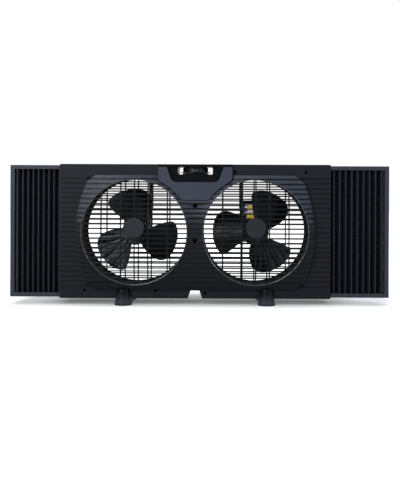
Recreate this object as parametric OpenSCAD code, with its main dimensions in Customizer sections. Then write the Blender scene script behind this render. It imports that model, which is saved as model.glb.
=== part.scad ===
// Twin window fan with two side expanders, standing on two feet.
// X runs to the viewer's right, Y into the window, Z up; Z = 0 is the sill, X = Y = 0 the middle of the body.

/* [Body] */
// Width of the body beside the cover, on each side
side_band = 39; // [30:1:60]
// Height of the body below the cover
low_band = 21.5; // [21:0.5:30]
// Height of the body above the cover
high_band = 24.5; // [20:0.5:34]
// Depth of the body between its front and rear faces
body_d = 84; // [82:1:100]
// Height of the body's underside above the sill
lift = 14; // [10:1:24]
// Thickness of the rims and inner walls of the shells
wall = 2.5; // [2:0.1:3]
// Thickness of the front and rear plates
plate_t = 3; // [2.5:0.1:4]
// Depth of the front shell's rim, from the front face
rim_d = 30; // [28:1:34]
// Radius of the body's corners, seen from the front
corner_r = 3; // [2:0.5:8]

/* [Fans] */
// Diameter of the openings in the front cover
opening_d = 235; // [210:1:260]
// Width of the cover between the two openings
bridge = 37; // [32:1:60]
// How far the ducts' inner walls lie outside the openings' edges
duct_step = 2; // [1:0.5:4]
// Wall thickness of the ducts
duct_wall = 2.5; // [2:0.1:3]
// Gap between the blade tips and the duct
tip_gap = 23; // [6:0.5:26]
// Diameter of the rotor's hub
hub_d = 61; // [50:1:64]
// Depth of the hub
hub_len = 27; // [24:1:30]
// Distance of the rotor's middle behind the front face
rotor_in = 22.5; // [21:0.5:24]
// Number of blades on a rotor
blade_count = 3; // [3:1:5]
// Thickness of a blade
blade_t = 2; // [1.6:0.1:2.6]
// Pitch of the blades in degrees
blade_pitch = 16; // [10:1:18]
// Camber radius of the blades
blade_camber = 190; // [160:5:260]
// Angle of the left rotor's first blade, anticlockwise from the right
left_rotor_angle = 100; // [0:1:119]
// Angle of the right rotor's first blade
right_rotor_angle = 59.5; // [0:0.5:119]

/* [Cover] */
// How far the cover reaches past the openings at its sides
cover_side = 12.5; // [8:0.5:20]
// How far the cover reaches past the openings at its top and bottom
cover_rim = 10.5; // [9:0.5:18]
// How far the cover stands proud of the front face at its middle
cover_raise = 16; // [14:0.5:20]
// How much less it stands proud along its top and bottom edges
cover_sag = 9; // [5:0.5:10]
// Radius of the cover's bowed sides
cover_side_r = 280; // [260:5:400]
// Width of the cut at the cover's corners
cover_cut_w = 19; // [14:1:24]
// Height of the cut at the cover's corners
cover_cut_h = 16; // [12:1:20]
// Thickness of the cover
skin = 2.5; // [2:0.1:3]

/* [Ribs and grilles] */
// Spacing of the ribs and of the grilles' bars
rib_pitch = 11.05; // [10:0.05:13]
// Width of a groove between ribs, and of a bar
bar_w = 3; // [2.4:0.1:3.6]
// Thickness of the bars, front to back
bar_t = 2.5; // [2:0.1:3]
// Depth of the grooves
groove = 1.2; // [0.6:0.1:1.6]
// Height of the cap disc's centre, and of one bar, above the fan axis
cap_up = 9.5; // [0:0.5:11]
// Drop of the rows of bars and ribs below the cap's height
row_drop = 1.2; // [0:0.1:3]
// Diameter of the cap disc
cap_d = 44.5; // [36:0.5:56]
// Distance of the inner uprights from the fan axis
upright_in = 30.5; // [26:0.5:32]
// Distance of the outer uprights from the fan axis
upright_out = 74; // [66:1:84]
// Width of the wiring strut on the rear grille
strut_w = 9.5; // [9:0.5:12]

/* [Control pod] */
// Width of the pod
pod_w = 165.5; // [160:0.5:172]
// Height of the pod
pod_h = 73.6; // [68:0.2:78]
// Distance from the pod's upper edge to the body's top
pod_drop = 6.4; // [6:0.2:8]
// Gap between the pod and its neighbours
pod_gap = 1.2; // [0.6:0.1:2]
// Width of the cover's band between an opening and the pod
pod_band = 10.2; // [10:0.1:14]
// Half-width of the recess at its top
recess_top = 61.5; // [58:0.5:66]
// Half-width of the recess at its bottom
recess_low = 50; // [46:0.5:54]
// Height of the recess
recess_h = 31.8; // [30:0.2:36]
// Depth of the recess behind the pod's face
recess_d = 10; // [8:0.5:12]
// Width of the finger slot
slot_w = 78; // [74:1:84]
// Height of the finger slot
slot_h = 16.7; // [15:0.1:17]
// Diameter of the dial's grip
dial_d = 57; // [50:0.2:58]
// Diameter of the dial's skirt
dial_skirt_d = 68; // [60:1:70]
// Gap between the dial's grip and the top of the slot
dial_top = 0.6; // [0.4:0.1:3]

/* [Motors] */
// Width of a motor's laminations
stator_w = 61; // [58:0.5:64]
// Height of a motor's laminations
stator_h = 75; // [72:0.5:78]
// Thickness of the stack
stack_t = 16; // [12:1:18]
// Diameter of the stator's bore
stator_bore = 31; // [28:0.5:34]
// Diameter of the motor shaft
shaft_d = 6; // [5:0.5:7]
// Width of the coil
coil_w = 36.8; // [34:0.2:37]
// Height of the coil
coil_h = 35.5; // [33:0.5:37]
// Depth of the coil, front to back
coil_d = 29; // [26:1:31]

/* [Expanders] */
// How far the left expander stands out of the body
left_out = 112; // [100:1:130]
// How far the right expander stands out of the body
right_out = 132; // [110:1:136]
// Length of an expander's rails, with its stile
expander_len = 192; // [180:1:200]
// Width of an expander's rails
rail_w = 9; // [8:0.5:10]
// Width of an expander's stile
stile_w = 9.5; // [8:0.5:12]
// Depth of an expander's frame
expander_d = 22; // [20:0.5:22]
// Number of pleats in each curtain
pleats = 12; // [8:1:14]
// Thickness of the curtain's sheet
sheet_t = 0.9; // [0.6:0.1:1.2]

/* [Feet] */
// Distance between the two feet
foot_pitch = 322; // [300:1:360]
// Depth of a foot, front to back
foot_d = 124; // [116:1:150]
// Diameter of a foot's posts at the sill
foot_low_d = 39.5; // [36:0.5:42]
// Diameter of a foot's posts at their top
foot_top_d = 29.5; // [26:0.5:32]
// Width of the bar under the body
foot_bar_w = 34; // [30:1:36]

/* [Fits] */
// Gap around a sliding rail
slide_gap = 0.3; // [0.2:0.05:0.4]
// Gap between pieces that only sit in each other
seat_gap = 0.2; // [0.1:0.05:0.3]
// Radial clearance of a shaft in its bush
shaft_gap = 0.03; // [0.02:0.01:0.06]

/* [Hidden] */
$fn = 96;
LEFT = -1;
RIGHT = 1;

// Sizes that follow from those above
fan_pitch = opening_d + bridge;
duct_d = opening_d + 2 * duct_step;
rotor_d = duct_d - 2 * tip_gap;
cover_w = fan_pitch + opening_d + 2 * cover_side;
cover_h = opening_d + 2 * cover_rim;
body_w = cover_w + 2 * side_band;
body_h = low_band + cover_h + high_band;
fan_up = low_band + cover_h / 2;
pod_high = body_h - pod_drop;
pod_low = pod_high - pod_h;
recess_z = pod_high - recess_h;

// Places of the main faces
half_w = body_w / 2;
y_face = -body_d / 2;
y_plate = y_face + plate_t;
y_split = y_face + rim_d;
y_rear = body_d / 2;
y_back = y_rear - plate_t;
z_low = lift;
z_top = lift + body_h;
fan_x = fan_pitch / 2;
fan_z = lift + fan_up;
duct_r = duct_d / 2;
y_duct_split = y_split - 2;

// The cover's front is a slice of a large cylinder that lies along X
y_cover = y_face - cover_raise;
bulge_r = (pow(cover_h / 2, 2) + pow(cover_sag, 2)) / (2 * cover_sag);
cover_land = 5;
cover_cut_r = 8;
side_steps = 8;
window_side = cover_w / 2 - cover_land;

// Rows of ribs and bars, counted from the row at the cap
rib_margin = 6;
row_up = cap_up - row_drop;
low_row = -floor((cover_h / 2 - rib_margin + row_up) / rib_pitch);
high_row = floor((cover_h / 2 - rib_margin - row_up) / rib_pitch);
face_shift = 1.8;
grille_gap = 0.05;
bar_recess = groove + 0.6;
cap_proud = 1;
collar_proud = 0.8;
cap_t = 4;

// Control pod, tray, dial and switch
y_pod = y_cover;
pod_t = 2.5;
pod_skirt = 2;
pod_arc_r = opening_d / 2 + pod_band;
pod_corner_r = 13;
pod_foot_r = 8;
recess_r = 14;
tray_wall = 1.8;
y_recess = y_pod + recess_d;
z_bar = z_low + pod_high + 0.3;
slot_z1 = z_bar;
slot_z0 = slot_z1 - slot_h;
slot_r = 3;
bar_in = 4;
tunnel_wall = 2;
dial_y = y_pod + 1 + dial_skirt_d / 2;
dial_gap = 3.2;
dial_skirt_t = 1.6;
dial_z = slot_z0 + dial_gap;
dial_h = slot_h - dial_gap - dial_skirt_t - dial_top;
dial_rib_count = 32;
spindle_r = 3;
switch_w = 36;
switch_d = 28;
switch_h = 13.5;
switch_bush_r = 4.8;
switch_z = slot_z0 - tunnel_wall - switch_h;
nut_h = 2;

// Bottom notch
notch_h = low_band - 3.5;
notch_top = 10;
notch_low = 16;

// Screw places, as [x, height above the underside]
well_in = 17.5;
well_r = 3.6;
well_wall = 1.6;
well_inner = pod_w / 2 + 6.25;
well_outer = cover_w / 2 - 17;
housing_wells = [
    [well_inner, body_h - well_in], [well_outer, body_h - well_in],
    [-well_inner, well_in], [-well_outer, well_in], [notch_low + 6.5, well_in - 5.8],
];
corner_wells = [
    for (sx = [-1, 1], sz = [-1, 1])
        [sx * (cover_w / 2 - 25), fan_up + sz * (cover_h / 2 - 8)]
];
centre_wells = [[0, pod_low - 12.5], [0, fan_up - 18.5]];
screw_r = 1.5;
pilot_r = 1.55;
head_r = 3;
head_t = 2.2;
screw_len = 16;
corner_sink = 1.4;
boss_r = 4.6;
boss_gap = seat_gap;
dimple_r = 1.8;

// Motors, measured along Y from the stack
y_stack = y_face + 51;
stack_end = y_stack + stack_t;
stator_low = 25.5;
stator_arm = 11.5;
stator_bar = 12;
window_low = 24;
armature_gap = 0.4;
bracket_t = 2;
bracket_reach = 6;
bracket_half = 29;
bracket_h = 16;
leg_w = 6;
cup_r = 8;
cup_t = 8;
bush_r = 5;
bolt_x = 24.5;
bolt_r = 2;
y_grille = y_back - bar_t;
pad_half = stator_w / 2 + 3;
pad_low = -stator_low - 1.5;
pad_high = stator_h - stator_low + 3.5;
strut_d = 9;
strut_low = pad_high - 1;
strut_groove = 5.6;
wire_d = 4.2;

// Expanders: a closed channel at the top and at the bottom guides each rail
y_rail = y_plate + slide_gap;
rail_end = y_rail + expander_d;
y_guide = rail_end + slide_gap;
y_boss = y_guide + wall;
channel_h = rail_w + 2 * slide_gap;
channel_from = well_inner + well_r + well_wall + 1.8;
pocket_x = window_side + 2;
pocket_t = 2.5;
curtain_x = pocket_x + pocket_t + 0.3;
rail_groove = 4;
curtain_d = expander_d - 5;
curtain_gap = 0.4;

// Feet
foot_x = foot_pitch / 2;
foot_y = (foot_d - foot_low_d) / 2;
foot_post = lift + (fan_up - cover_h / 2) - 0.5;
peg_r = 2.4;
peg_up = low_band - 12.5;
peg_in = 2;

// Cord inlet, low between the two ducts
inlet_x = 28;
inlet_up = 42;
inlet_r = 7;
cord_r = 3.8;

function cover_front(h) = y_cover + bulge_r - sqrt(bulge_r * bulge_r - h * h);
function unit(v) = v / norm(v);

// Arc of radius r that rounds the corner b between its neighbours a and c
function corner_arc(a, b, c, r, n) =
    let (
        u = unit(a - b),
        w = unit(c - b),
        half = acos(u * w) / 2,
        o = b + unit(u + w) * (r / sin(half)),
        p = b + u * (r / tan(half)),
        q = b + w * (r / tan(half)),
        a0 = atan2(p.y - o.y, p.x - o.x),
        turn = atan2(q.y - o.y, q.x - o.x) - a0,
        sweep = turn > 180 ? turn - 360 : turn < -180 ? turn + 360 : turn
    )
    [for (k = [0:n]) o + r * [cos(a0 + sweep * k / n), sin(a0 + sweep * k / n)]];

// Outline from corners given as [x, z, radius]
function rounded(pts, n = 6) =
    let (count = len(pts))
    [
        for (i = [0:count - 1])
            let (
                a = pts[(i + count - 1) % count],
                b = pts[i],
                c = pts[(i + 1) % count]
            )
            each b[2] == 0 ? [[b.x, b.y]]
                : corner_arc([a.x, a.y], [b.x, b.y], [c.x, c.y], b[2], n)
    ];

// Cuts each corner of a closed outline twice, for a smooth curve through its sides
function smooth(pts) =
    let (n = len(pts))
    [for (i = [0:n - 1]) each [
        pts[i] + (pts[(i + 1) % n] - pts[i]) / 4, pts[i] + (pts[(i + 1) % n] - pts[i]) * 3 / 4]];

function mirrored(pts) = [for (i = [len(pts) - 1:-1:0]) [-pts[i].x, pts[i].y, pts[i][2]]];
function turned(pts) = [for (p = pts) [-p.x, -p.y, p[2]]];

// Right side of the cover's outline, from bottom to top, moved inwards by inset
function cover_side_x(h) = cover_w / 2 - cover_side_r + sqrt(cover_side_r * cover_side_r - h * h);
function cover_right(inset) =
    let (
        top = cover_h / 2 - inset,
        bend = cover_h / 2 - cover_cut_h - inset / 2,
        cut_x = cover_side_x(bend) - cover_cut_w - inset / 2
    )
    concat(
        [[cut_x, -top, cover_cut_r], [cover_side_x(bend) - inset, -bend, cover_cut_r]],
        [for (k = [1 - side_steps:side_steps - 1])
            let (h = bend * k / side_steps) [cover_side_x(h) - inset, h, 0]],
        [[cover_side_x(bend) - inset, bend, cover_cut_r], [cut_x, top, cover_cut_r]]
    );
function cover_outline(inset) = rounded(concat(cover_right(inset), turned(cover_right(inset))));

// Left side of the pod's outline, from its foot to its top, moved inwards by inset
pod_arc_steps = 6;
function pod_left(inset) =
    let (
        r = pod_arc_r + inset,
        low = pod_low - fan_up + inset,
        x = pod_w / 2 - inset,
        a_low = asin(low / r),
        a_top = acos((fan_x - x) / r)
    )
    concat(
        [[-fan_x + r * cos(a_low), low, pod_foot_r]],
        [for (k = [1:pod_arc_steps - 1])
            let (a = a_low + (a_top - a_low) * k / pod_arc_steps)
            [-fan_x + r * cos(a), r * sin(a), 0]],
        [[-x, r * sin(a_top), pod_corner_r], [-x, z_bar - fan_z - 0.3, 0]]
    );
function pod_outline(inset) = rounded(concat(pod_left(inset), mirrored(pod_left(inset))));
function recess_outline(inset) =
    let (
        top = z_bar - fan_z,
        low = recess_z - fan_up + inset,
        grow = (recess_top - recess_low) * 0.1
    )
    rounded([
        [-(recess_top + grow - inset), top + 3, 0], [-(recess_low - inset), low, recess_r],
        [recess_low - inset, low, recess_r], [recess_top + grow - inset, top + 3, 0],
    ]);

// Upright slab from y0 to y1 with its outline in X and Z
module slab(y0, y1) {
    translate([0, y1, 0]) rotate([90, 0, 0]) linear_extrude(y1 - y0) children();
}
module rod(r, y0, y1, x = 0, z = 0) {
    translate([x, y1, z]) rotate([90, 0, 0]) cylinder(r = r, h = y1 - y0);
}
module block(x0, x1, y0, y1, z0, z1) {
    translate([x0, y0, z0]) cube([x1 - x0, y1 - y0, z1 - z0]);
}
module at_fan_height() {
    translate([0, fan_z]) children();
}
module at_fan(side) {
    translate([side * fan_x, 0, fan_z]) children();
}
module sided(side) {
    mirror([side == LEFT ? 1 : 0, 0, 0]) children();
}

// Solid behind the cover's bulged front, moved back by depth
module bulge(depth) {
    translate([-half_w, y_cover + bulge_r, fan_z]) rotate([0, 90, 0])
        cylinder(r = bulge_r - depth, h = body_w, $fn = 360);
}
module body_outline(inset = 0) {
    r = max(corner_r - inset, 0.5);
    x = half_w - inset;
    translate([0, (z_low + z_top) / 2]) {
        square([2 * x, body_h - 2 * inset - 2 * r], center = true);
        square([2 * x - 2 * r, body_h - 2 * inset], center = true);
        for (sx = [-1, 1], sz = [-1, 1])
            translate([sx * (x - r), sz * (body_h / 2 - inset - r)]) circle(r);
    }
}
module notch_shape(grow = 0) {
    slope = (notch_low - notch_top) / notch_h;
    top = notch_h + grow;
    translate([0, z_low]) polygon([
        [-notch_low - grow - slope, -1], [-notch_top - grow + slope * grow, top],
        [notch_top + grow - slope * grow, top], [notch_low + grow + slope, -1],
    ]);
}
module grooves(y0, y1, from = low_row, to = high_row, shift = 0) {
    for (k = [from:to]) translate([0, 0, fan_z + row_up + shift + k * rib_pitch])
        block(-half_w - 1, half_w + 1, y0, y1, -bar_w / 2, bar_w / 2);
}
module wells(places) {
    for (p = places) translate([p.x, 0, z_low + p.y]) children();
}

// Tube along a route, for a wire that lies inside
function ring_at(path, i, r, sides) =
    let (
        n = len(path) - 1,
        t = unit(path[min(i + 1, n)] - path[max(i - 1, 0)]),
        u = unit(cross(t, [0.35, 0.9, 0.25])),
        v = cross(t, u)
    )
    [for (k = [0:sides - 1]) path[i] + r * (cos(360 * k / sides) * u + sin(360 * k / sides) * v)];
module wire(path, d, sides = 8) {
    n = len(path);
    pts = [for (i = [0:n - 1]) each ring_at(path, i, d / 2, sides)];
    skins = [
        for (i = [0:n - 2], k = [0:sides - 1])
            let (a = i * sides + k, b = i * sides + (k + 1) % sides)
            each [[a, b, b + sides], [a, b + sides, a + sides]]
    ];
    ends = [
        [for (k = [sides - 1:-1:0]) k],
        [for (k = [0:sides - 1]) (n - 1) * sides + k],
    ];
    polyhedron(points = pts, faces = concat(skins, ends));
}

// Channel that guides a rail, on the right-hand side at the top
module rail_channel() {
    low = z_top - wall - channel_h;
    difference() {
        block(channel_from, half_w, y_plate - 0.5, y_guide + wall, low - 2, z_top - wall / 2);
        block(channel_from - 1, half_w + 1, y_plate, y_guide, low, z_top - wall);
        block(pocket_x + pocket_t, half_w + 1, y_plate, y_guide, low - 3, low + 1);
    }
}
module all_channels() {
    for (side = [LEFT, RIGHT]) sided(side) {
        rail_channel();
        translate([0, 0, z_low + z_top]) mirror([0, 0, 1]) rail_channel();
    }
}

module front_frame() color("#2c2f36") difference() {
    union() {
        difference() {
            slab(y_face, y_split) body_outline();
            slab(y_plate, y_split + 1) translate([0, (z_low + z_top) / 2])
                square([body_w + 2, body_h - 2 * wall], center = true);
            grooves(y_face - 1, y_face + groove, low_row - 1, high_row, face_shift);
        }
        all_channels();
        for (side = [LEFT, RIGHT]) sided(side)
            block(pocket_x, pocket_x + pocket_t, y_plate - 0.5, rail_end,
                z_low + wall + channel_h, z_top - wall - channel_h);
        wells(housing_wells) rod(well_r + well_wall, y_plate - 0.5, y_boss);
        wells(corner_wells) rod(boss_r, y_plate - 0.5, y_boss);
        slab(y_plate - 0.5, y_split) intersection() {
            notch_shape(wall);
            body_outline();
        }
    }
    slab(y_face - 1, y_plate + 1) at_fan_height() polygon(cover_outline(cover_land));
    slab(y_face - 1, y_split + 1) notch_shape();
    block(-tunnel_half() - 0.3, tunnel_half() + 0.3, y_face - 1, y_plate + 1,
        slot_z0 - tunnel_wall - 0.3, slot_z1 + tunnel_wall + 0.3);
    wells(housing_wells) {
        rod(well_r, y_face - 1, y_boss - 2);
        rod(pilot_r, y_boss - 3, y_boss + 1);
    }
    wells(corner_wells) {
        rod(well_r, y_face - 1, y_face + corner_sink);
        rod(pilot_r, y_face, y_boss + 1);
    }
    for (side = [LEFT, RIGHT]) {
        rod(peg_r + seat_gap, y_face - 1, y_face + peg_in + seat_gap, side * foot_x, z_low + peg_up);
        rod(dimple_r, y_face - 1, y_face + plate_t - 1, side * (cover_w / 2 + 4.5), fan_z);
    }
}
function tunnel_half() = slot_w / 2 + tunnel_wall;

module front_cover() color("#33363d") difference() {
    union() {
        difference() {
            intersection() {
                slab(y_cover - 1, y_face) at_fan_height() polygon(cover_outline(0));
                bulge(0);
            }
            intersection() {
                slab(y_cover - 1, y_face + 1) at_fan_height() polygon(cover_outline(skin));
                bulge(skin);
            }
            difference() {
                grooves(y_cover - 1, y_face);
                bulge(groove);
            }
        }
        intersection() {
            for (side = [LEFT, RIGHT]) at_fan(side) rod(opening_d / 2 + skin, y_cover - 1, y_face);
            bulge(-collar_proud);
        }
        intersection() {
            for (side = [LEFT, RIGHT]) at_fan(side) rod(duct_r + duct_wall, y_cover, y_duct_split);
            bulge(groove + 0.3);
        }
        wells(centre_wells) rod(well_r + well_wall, y_cover + skin, y_boss);
    }
    slab(y_cover - 2, y_face + 1) at_fan_height() polygon(pod_outline(-pod_gap));
    for (side = [LEFT, RIGHT]) at_fan(side) {
        rod(opening_d / 2, y_cover - 2, y_duct_split + 1);
        rod(duct_r, cover_front(duct_r) + skin, y_duct_split + 1);
    }
    wells(centre_wells) {
        rod(well_r + 0.4, y_cover - 1, y_boss - 2);
        rod(pilot_r, y_boss - 3, y_boss + 1);
    }
}
module rear_housing() color("#202226") difference() {
    union() {
        difference() {
            slab(y_split, y_rear) body_outline();
            slab(y_split - 1, y_back) body_outline(wall);
            grooves(y_rear - groove, y_rear + 1);
        }
        for (side = [LEFT, RIGHT]) {
            sided(side) block(half_w - wall, half_w, y_guide + 0.3, y_split + 1,
                z_low + wall + channel_h + 2.5, z_top - wall - channel_h - 2.5);
            at_fan(side) rod(duct_r + duct_wall, y_duct_split + 0.3, y_back + 0.5);
        }
        wells(concat(housing_wells, corner_wells, centre_wells))
            rod(boss_r, y_boss + boss_gap, y_back + 0.5);
        slab(y_split, y_back + 0.5) intersection() {
            notch_shape(wall);
            body_outline();
        }
    }
    for (side = [LEFT, RIGHT]) {
        at_fan(side) {
            rod(duct_r, y_duct_split, y_back);
            rod(duct_r - 1.5, y_back - 1, y_rear + 1);
        }
        sided(side) block(fan_x - upright_in - 3.5, fan_x - upright_in + 3.5, y_grille - strut_d,
            y_grille, fan_z + duct_r * 0.9, fan_z + duct_r + 2 * duct_wall);
    }
    slab(y_split - 1, y_rear + 1) notch_shape();
    block(-tunnel_half() - 0.3, tunnel_half() + 0.3, y_back - 1, y_rear + 1,
        slot_z0 - tunnel_wall - 0.3, slot_z1 + tunnel_wall + 0.3);
    wells(concat(housing_wells, corner_wells, centre_wells))
        rod(pilot_r, y_boss - 1, y_boss + screw_len + 2);
    rod(inlet_r, y_back - 1, y_rear + 1, inlet_x, z_low + inlet_up);
}

// A grille's bars and uprights at one depth, for a flat or a bulged grille
module grille_bars(radius, shift) {
    for (k = [low_row:high_row + 1])
        if (abs(row_up + shift + k * rib_pitch) < radius - bar_w)
            translate([-radius, 0, row_up + shift + k * rib_pitch - bar_w / 2])
                cube([2 * radius, bar_t, bar_w]);
}
uprights = [-upright_out, -upright_in, 0, upright_in, upright_out];

module front_grille(side) color("#15161a") at_fan(side) {
    radius = opening_d / 2 - grille_gap;
    difference() {
        union() {
            for (k = [low_row:high_row])
                let (h = row_up + k * rib_pitch)
                if (abs(h) < radius - bar_w)
                    intersection() {
                        rod(radius, y_cover - 1, y_face);
                        translate([-radius, cover_front(h) + bar_recess, h - bar_w / 2])
                            cube([2 * radius, bar_t, bar_w]);
                    }
            intersection() {
                rod(radius, y_cover - 1, y_face);
                translate([0, 0, -fan_z]) difference() {
                    bulge(bar_recess + 0.4);
                    bulge(bar_recess + bar_t - 0.2);
                }
                for (x = uprights)
                    translate([x - bar_w / 2, y_cover, -radius]) cube([bar_w, cover_raise, 2 * radius]);
            }
        }
        rod(cap_d / 2 - 1, y_cover - 1, y_face, 0, cap_up);
    }
    rod(cap_d / 2, y_cover - cap_proud, y_cover - cap_proud + cap_t, 0, cap_up);
}
module front_grille_left() front_grille(LEFT);
module front_grille_right() front_grille(RIGHT);

// Rear grille with the pad that carries the motor and the strut that hides its wires
module rear_grille(side) color("#15161a") at_fan(side) {
    radius = duct_r - seat_gap;
    difference() {
        union() {
            intersection() {
                rod(radius, y_grille, y_back);
                union() {
                    translate([0, y_grille, 0]) grille_bars(radius, -rib_pitch / 2);
                    for (x = uprights)
                        translate([x - bar_w / 2, y_grille, -radius]) cube([bar_w, bar_t, 2 * radius]);
                }
            }
            difference() {
                rod(radius, y_back - 4, y_back);
                rod(radius - 1.6, y_back - 5, y_back + 1);
            }
            block(-pad_half, pad_half, y_grille, y_back, pad_low, pad_high);
            for (x = [-bolt_x, bolt_x]) rod(4.5, stack_end + bracket_reach + bracket_t, y_grille + 1, x);
            intersection() {
                rod(radius, y_grille - strut_d, y_back);
                block(-side * upright_in - strut_w / 2, -side * upright_in + strut_w / 2,
                    y_grille - strut_d, y_back, strut_low, radius);
            }
        }
        block(-side * upright_in - strut_groove / 2, -side * upright_in + strut_groove / 2,
            y_grille - strut_d - 1, y_grille - 1.5, strut_low - 1, radius + 1);
        for (x = [-bolt_x, bolt_x]) rod(bolt_r - 0.3, stack_end, y_back + 1, x);
    }
}
module rear_grille_left() rear_grille(LEFT);
module rear_grille_right() rear_grille(RIGHT);

module control_pod() color("#4b4c56") difference() {
    slab(y_pod, y_face) at_fan_height() polygon(pod_outline(0));
    slab(y_pod + pod_t, y_face + 1) at_fan_height() intersection() {
        polygon(pod_outline(pod_skirt));
        translate([0, z_bar - fan_z - body_h / 2]) square([body_w, body_h - 5], center = true);
    }
    slab(y_pod - 1, y_face + 1) at_fan_height() polygon(recess_outline(-tray_wall - 0.3));
}

module tray_slot() {
    translate([0, (slot_z0 + slot_z1) / 2]) {
        square([slot_w, slot_h - 2 * slot_r], center = true);
        square([slot_w - 2 * slot_r, slot_h], center = true);
        for (sx = [-1, 1], sz = [-1, 1])
            translate([sx * (slot_w / 2 - slot_r), sz * (slot_h / 2 - slot_r)]) circle(slot_r);
    }
}
module handle_tray() color("#17181b") difference() {
    union() {
        difference() {
            slab(y_pod + 1, y_face) recess_below_bar(-tray_wall);
            slab(y_pod, y_recess) recess_below_bar(0);
            slab(y_recess + tunnel_wall, y_face + 1) recess_below_bar(0);
        }
        block(-pod_w / 2, pod_w / 2, y_pod + bar_in, y_face, z_bar, z_top - seat_gap);
        block(-tunnel_half(), tunnel_half(), y_recess, y_rear,
            slot_z0 - tunnel_wall, slot_z1 + tunnel_wall);
    }
    slab(y_recess - 1, y_rear + 1) tray_slot();
    block(-slot_w / 2, slot_w / 2, y_pod, y_recess + 1, slot_z0, slot_z1);
    translate([0, dial_y, slot_z0 - tunnel_wall - 1])
        cylinder(r = switch_bush_r + seat_gap, h = tunnel_wall + 2);
}
module recess_below_bar(inset) {
    intersection() {
        at_fan_height() polygon(recess_outline(inset));
        translate([0, z_bar - body_h / 2]) square([body_w, body_h], center = true);
    }
}

module control_dial() color("#101114") translate([0, dial_y, 0]) difference() {
    union() {
        translate([0, 0, slot_z0 + nut_h + 0.4]) cylinder(r = 5.6, h = dial_gap);
        translate([0, 0, dial_z]) cylinder(d = dial_skirt_d, h = dial_skirt_t);
        translate([0, 0, dial_z]) cylinder(d = dial_d, h = dial_skirt_t + dial_h - 1.5);
        translate([0, 0, dial_z + dial_skirt_t + dial_h - 1.5])
            cylinder(d1 = dial_d, d2 = dial_d - 3, h = 1.5);
    }
    for (k = [0:dial_rib_count - 1]) rotate(k * 360 / dial_rib_count)
        translate([dial_d / 2 + 0.5, 0, dial_z + dial_skirt_t]) cylinder(r = 1.3, h = dial_h + 1, $fn = 16);
    translate([0, 0, switch_z]) cylinder(r = spindle_r, h = switch_h + 12);
}
module switch_spindle() color("#b8b4a8") translate([0, dial_y, switch_z + 3])
    cylinder(r = spindle_r, h = switch_h + 9);
module rotary_switch() color("#ddd9cc") difference() {
    union() {
        block(-switch_w / 2, switch_w / 2, dial_y - switch_d / 2, dial_y + switch_d / 2,
            switch_z, switch_z + switch_h);
        translate([0, dial_y, switch_z]) cylinder(r = switch_bush_r, h = switch_h + tunnel_wall + nut_h);
        for (x = [-12, 0, 12])
            block(x - 3.15, x + 3.15, dial_y + 4, dial_y + 4.8, switch_z - 8, switch_z + 1);
    }
    translate([0, dial_y, switch_z + 2.7]) cylinder(r = spindle_r + shaft_gap, h = switch_h + 9);
}
module switch_nut() color("#c9c9c4") translate([0, dial_y, slot_z0]) difference() {
    cylinder(r = 7.5, h = nut_h - 0.2, $fn = 6);
    translate([0, 0, -1]) cylinder(r = switch_bush_r + 0.02, h = nut_h + 2);
}

module cord_bush() color("#121214") translate([inlet_x, 0, z_low + inlet_up]) difference() {
    union() {
        rod(inlet_r - 0.1, y_back - 1.5, y_rear);
        rod(inlet_r + 2.5, y_rear, y_rear + 2.5);
        rod(inlet_r - 1, y_rear, y_rear + 8);
        rod(inlet_r + 1, y_back - 3.5, y_back);
    }
    rod(cord_r, y_back - 5, y_rear + 9);
}

// Pan-head screw whose head seats at y
module screw(y, len) {
    rod(screw_r, y - 0.5, y + len);
    difference() {
        rod(head_r, y - head_t, y);
        for (turn = [0, 90]) rotate([0, turn, 0])
            block(-1.9, 1.9, y - head_t - 1, y - head_t + 1, -0.45, 0.45);
    }
}
module housing_screws() color("#55585c") wells(housing_wells) screw(y_boss - 2, screw_len);
module cover_screws() color("#8d9094") {
    wells(corner_wells) screw(y_face + corner_sink, y_boss - y_face + screw_len - 4);
    wells(centre_wells) screw(y_boss - 2, screw_len);
}

// Blade outline around its mid-line, as polar points from the hub to the tip
tip = rotor_d / 2;
blade_plan = smooth(smooth([
    for (p = [
        [0.18, 25], [0.5, 37.5], [0.84, 37.5], [0.97, 33], [1.01, 18], [1.01, 4], [1.012, -12],
        [0.985, -24], [0.89, -33], [0.74, -38.5], [0.56, -44], [0.38, -49], [0.18, -46],
    ]) tip * p[0] * [cos(p[1]), sin(p[1])]
]));
module blade() {
    depth = 46;
    intersection() {
        linear_extrude(depth, center = true) polygon(blade_plan);
        translate([0, blade_camber * sin(blade_pitch), -blade_camber * cos(blade_pitch)])
            rotate([0, 90, 0]) difference() {
                cylinder(r = blade_camber, h = rotor_d, $fn = 180);
                translate([0, 0, -1]) cylinder(r = blade_camber - blade_t, h = rotor_d + 2, $fn = 180);
            }
    }
}
hub_edge = 5;
hub_wall = 2.2;
hub_boss_r = 6.5;
y_rotor = y_face + rotor_in;
module fan_rotor(side, angle) color("#0e0f12") at_fan(side) translate([0, y_rotor, 0])
    rotate([90, 0, 0]) difference() {
        union() {
            for (k = [0:blade_count - 1]) rotate(angle + k * 360 / blade_count) difference() {
                blade();
                translate([0, 0, -30]) cylinder(d = hub_d - 2, h = 60);
            }
            rotate_extrude() union() {
                square([hub_d / 2 - hub_edge, hub_len / 2]);
                translate([0, -hub_len / 2]) square([hub_d / 2, hub_len - hub_edge]);
                translate([hub_d / 2 - hub_edge, hub_len / 2 - hub_edge]) circle(hub_edge);
            }
        }
        difference() {
            translate([0, 0, -hub_len / 2 - 1]) cylinder(d = hub_d - 2 * hub_wall, h = hub_len - 2);
            cylinder(r = hub_boss_r, h = 60, center = true);
        }
        translate([0, 0, -hub_len]) cylinder(d = shaft_d, h = 2 * hub_len - 12);
    }
module fan_rotor_left() fan_rotor(LEFT, left_rotor_angle);
module fan_rotor_right() fan_rotor(RIGHT, right_rotor_angle);

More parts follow.
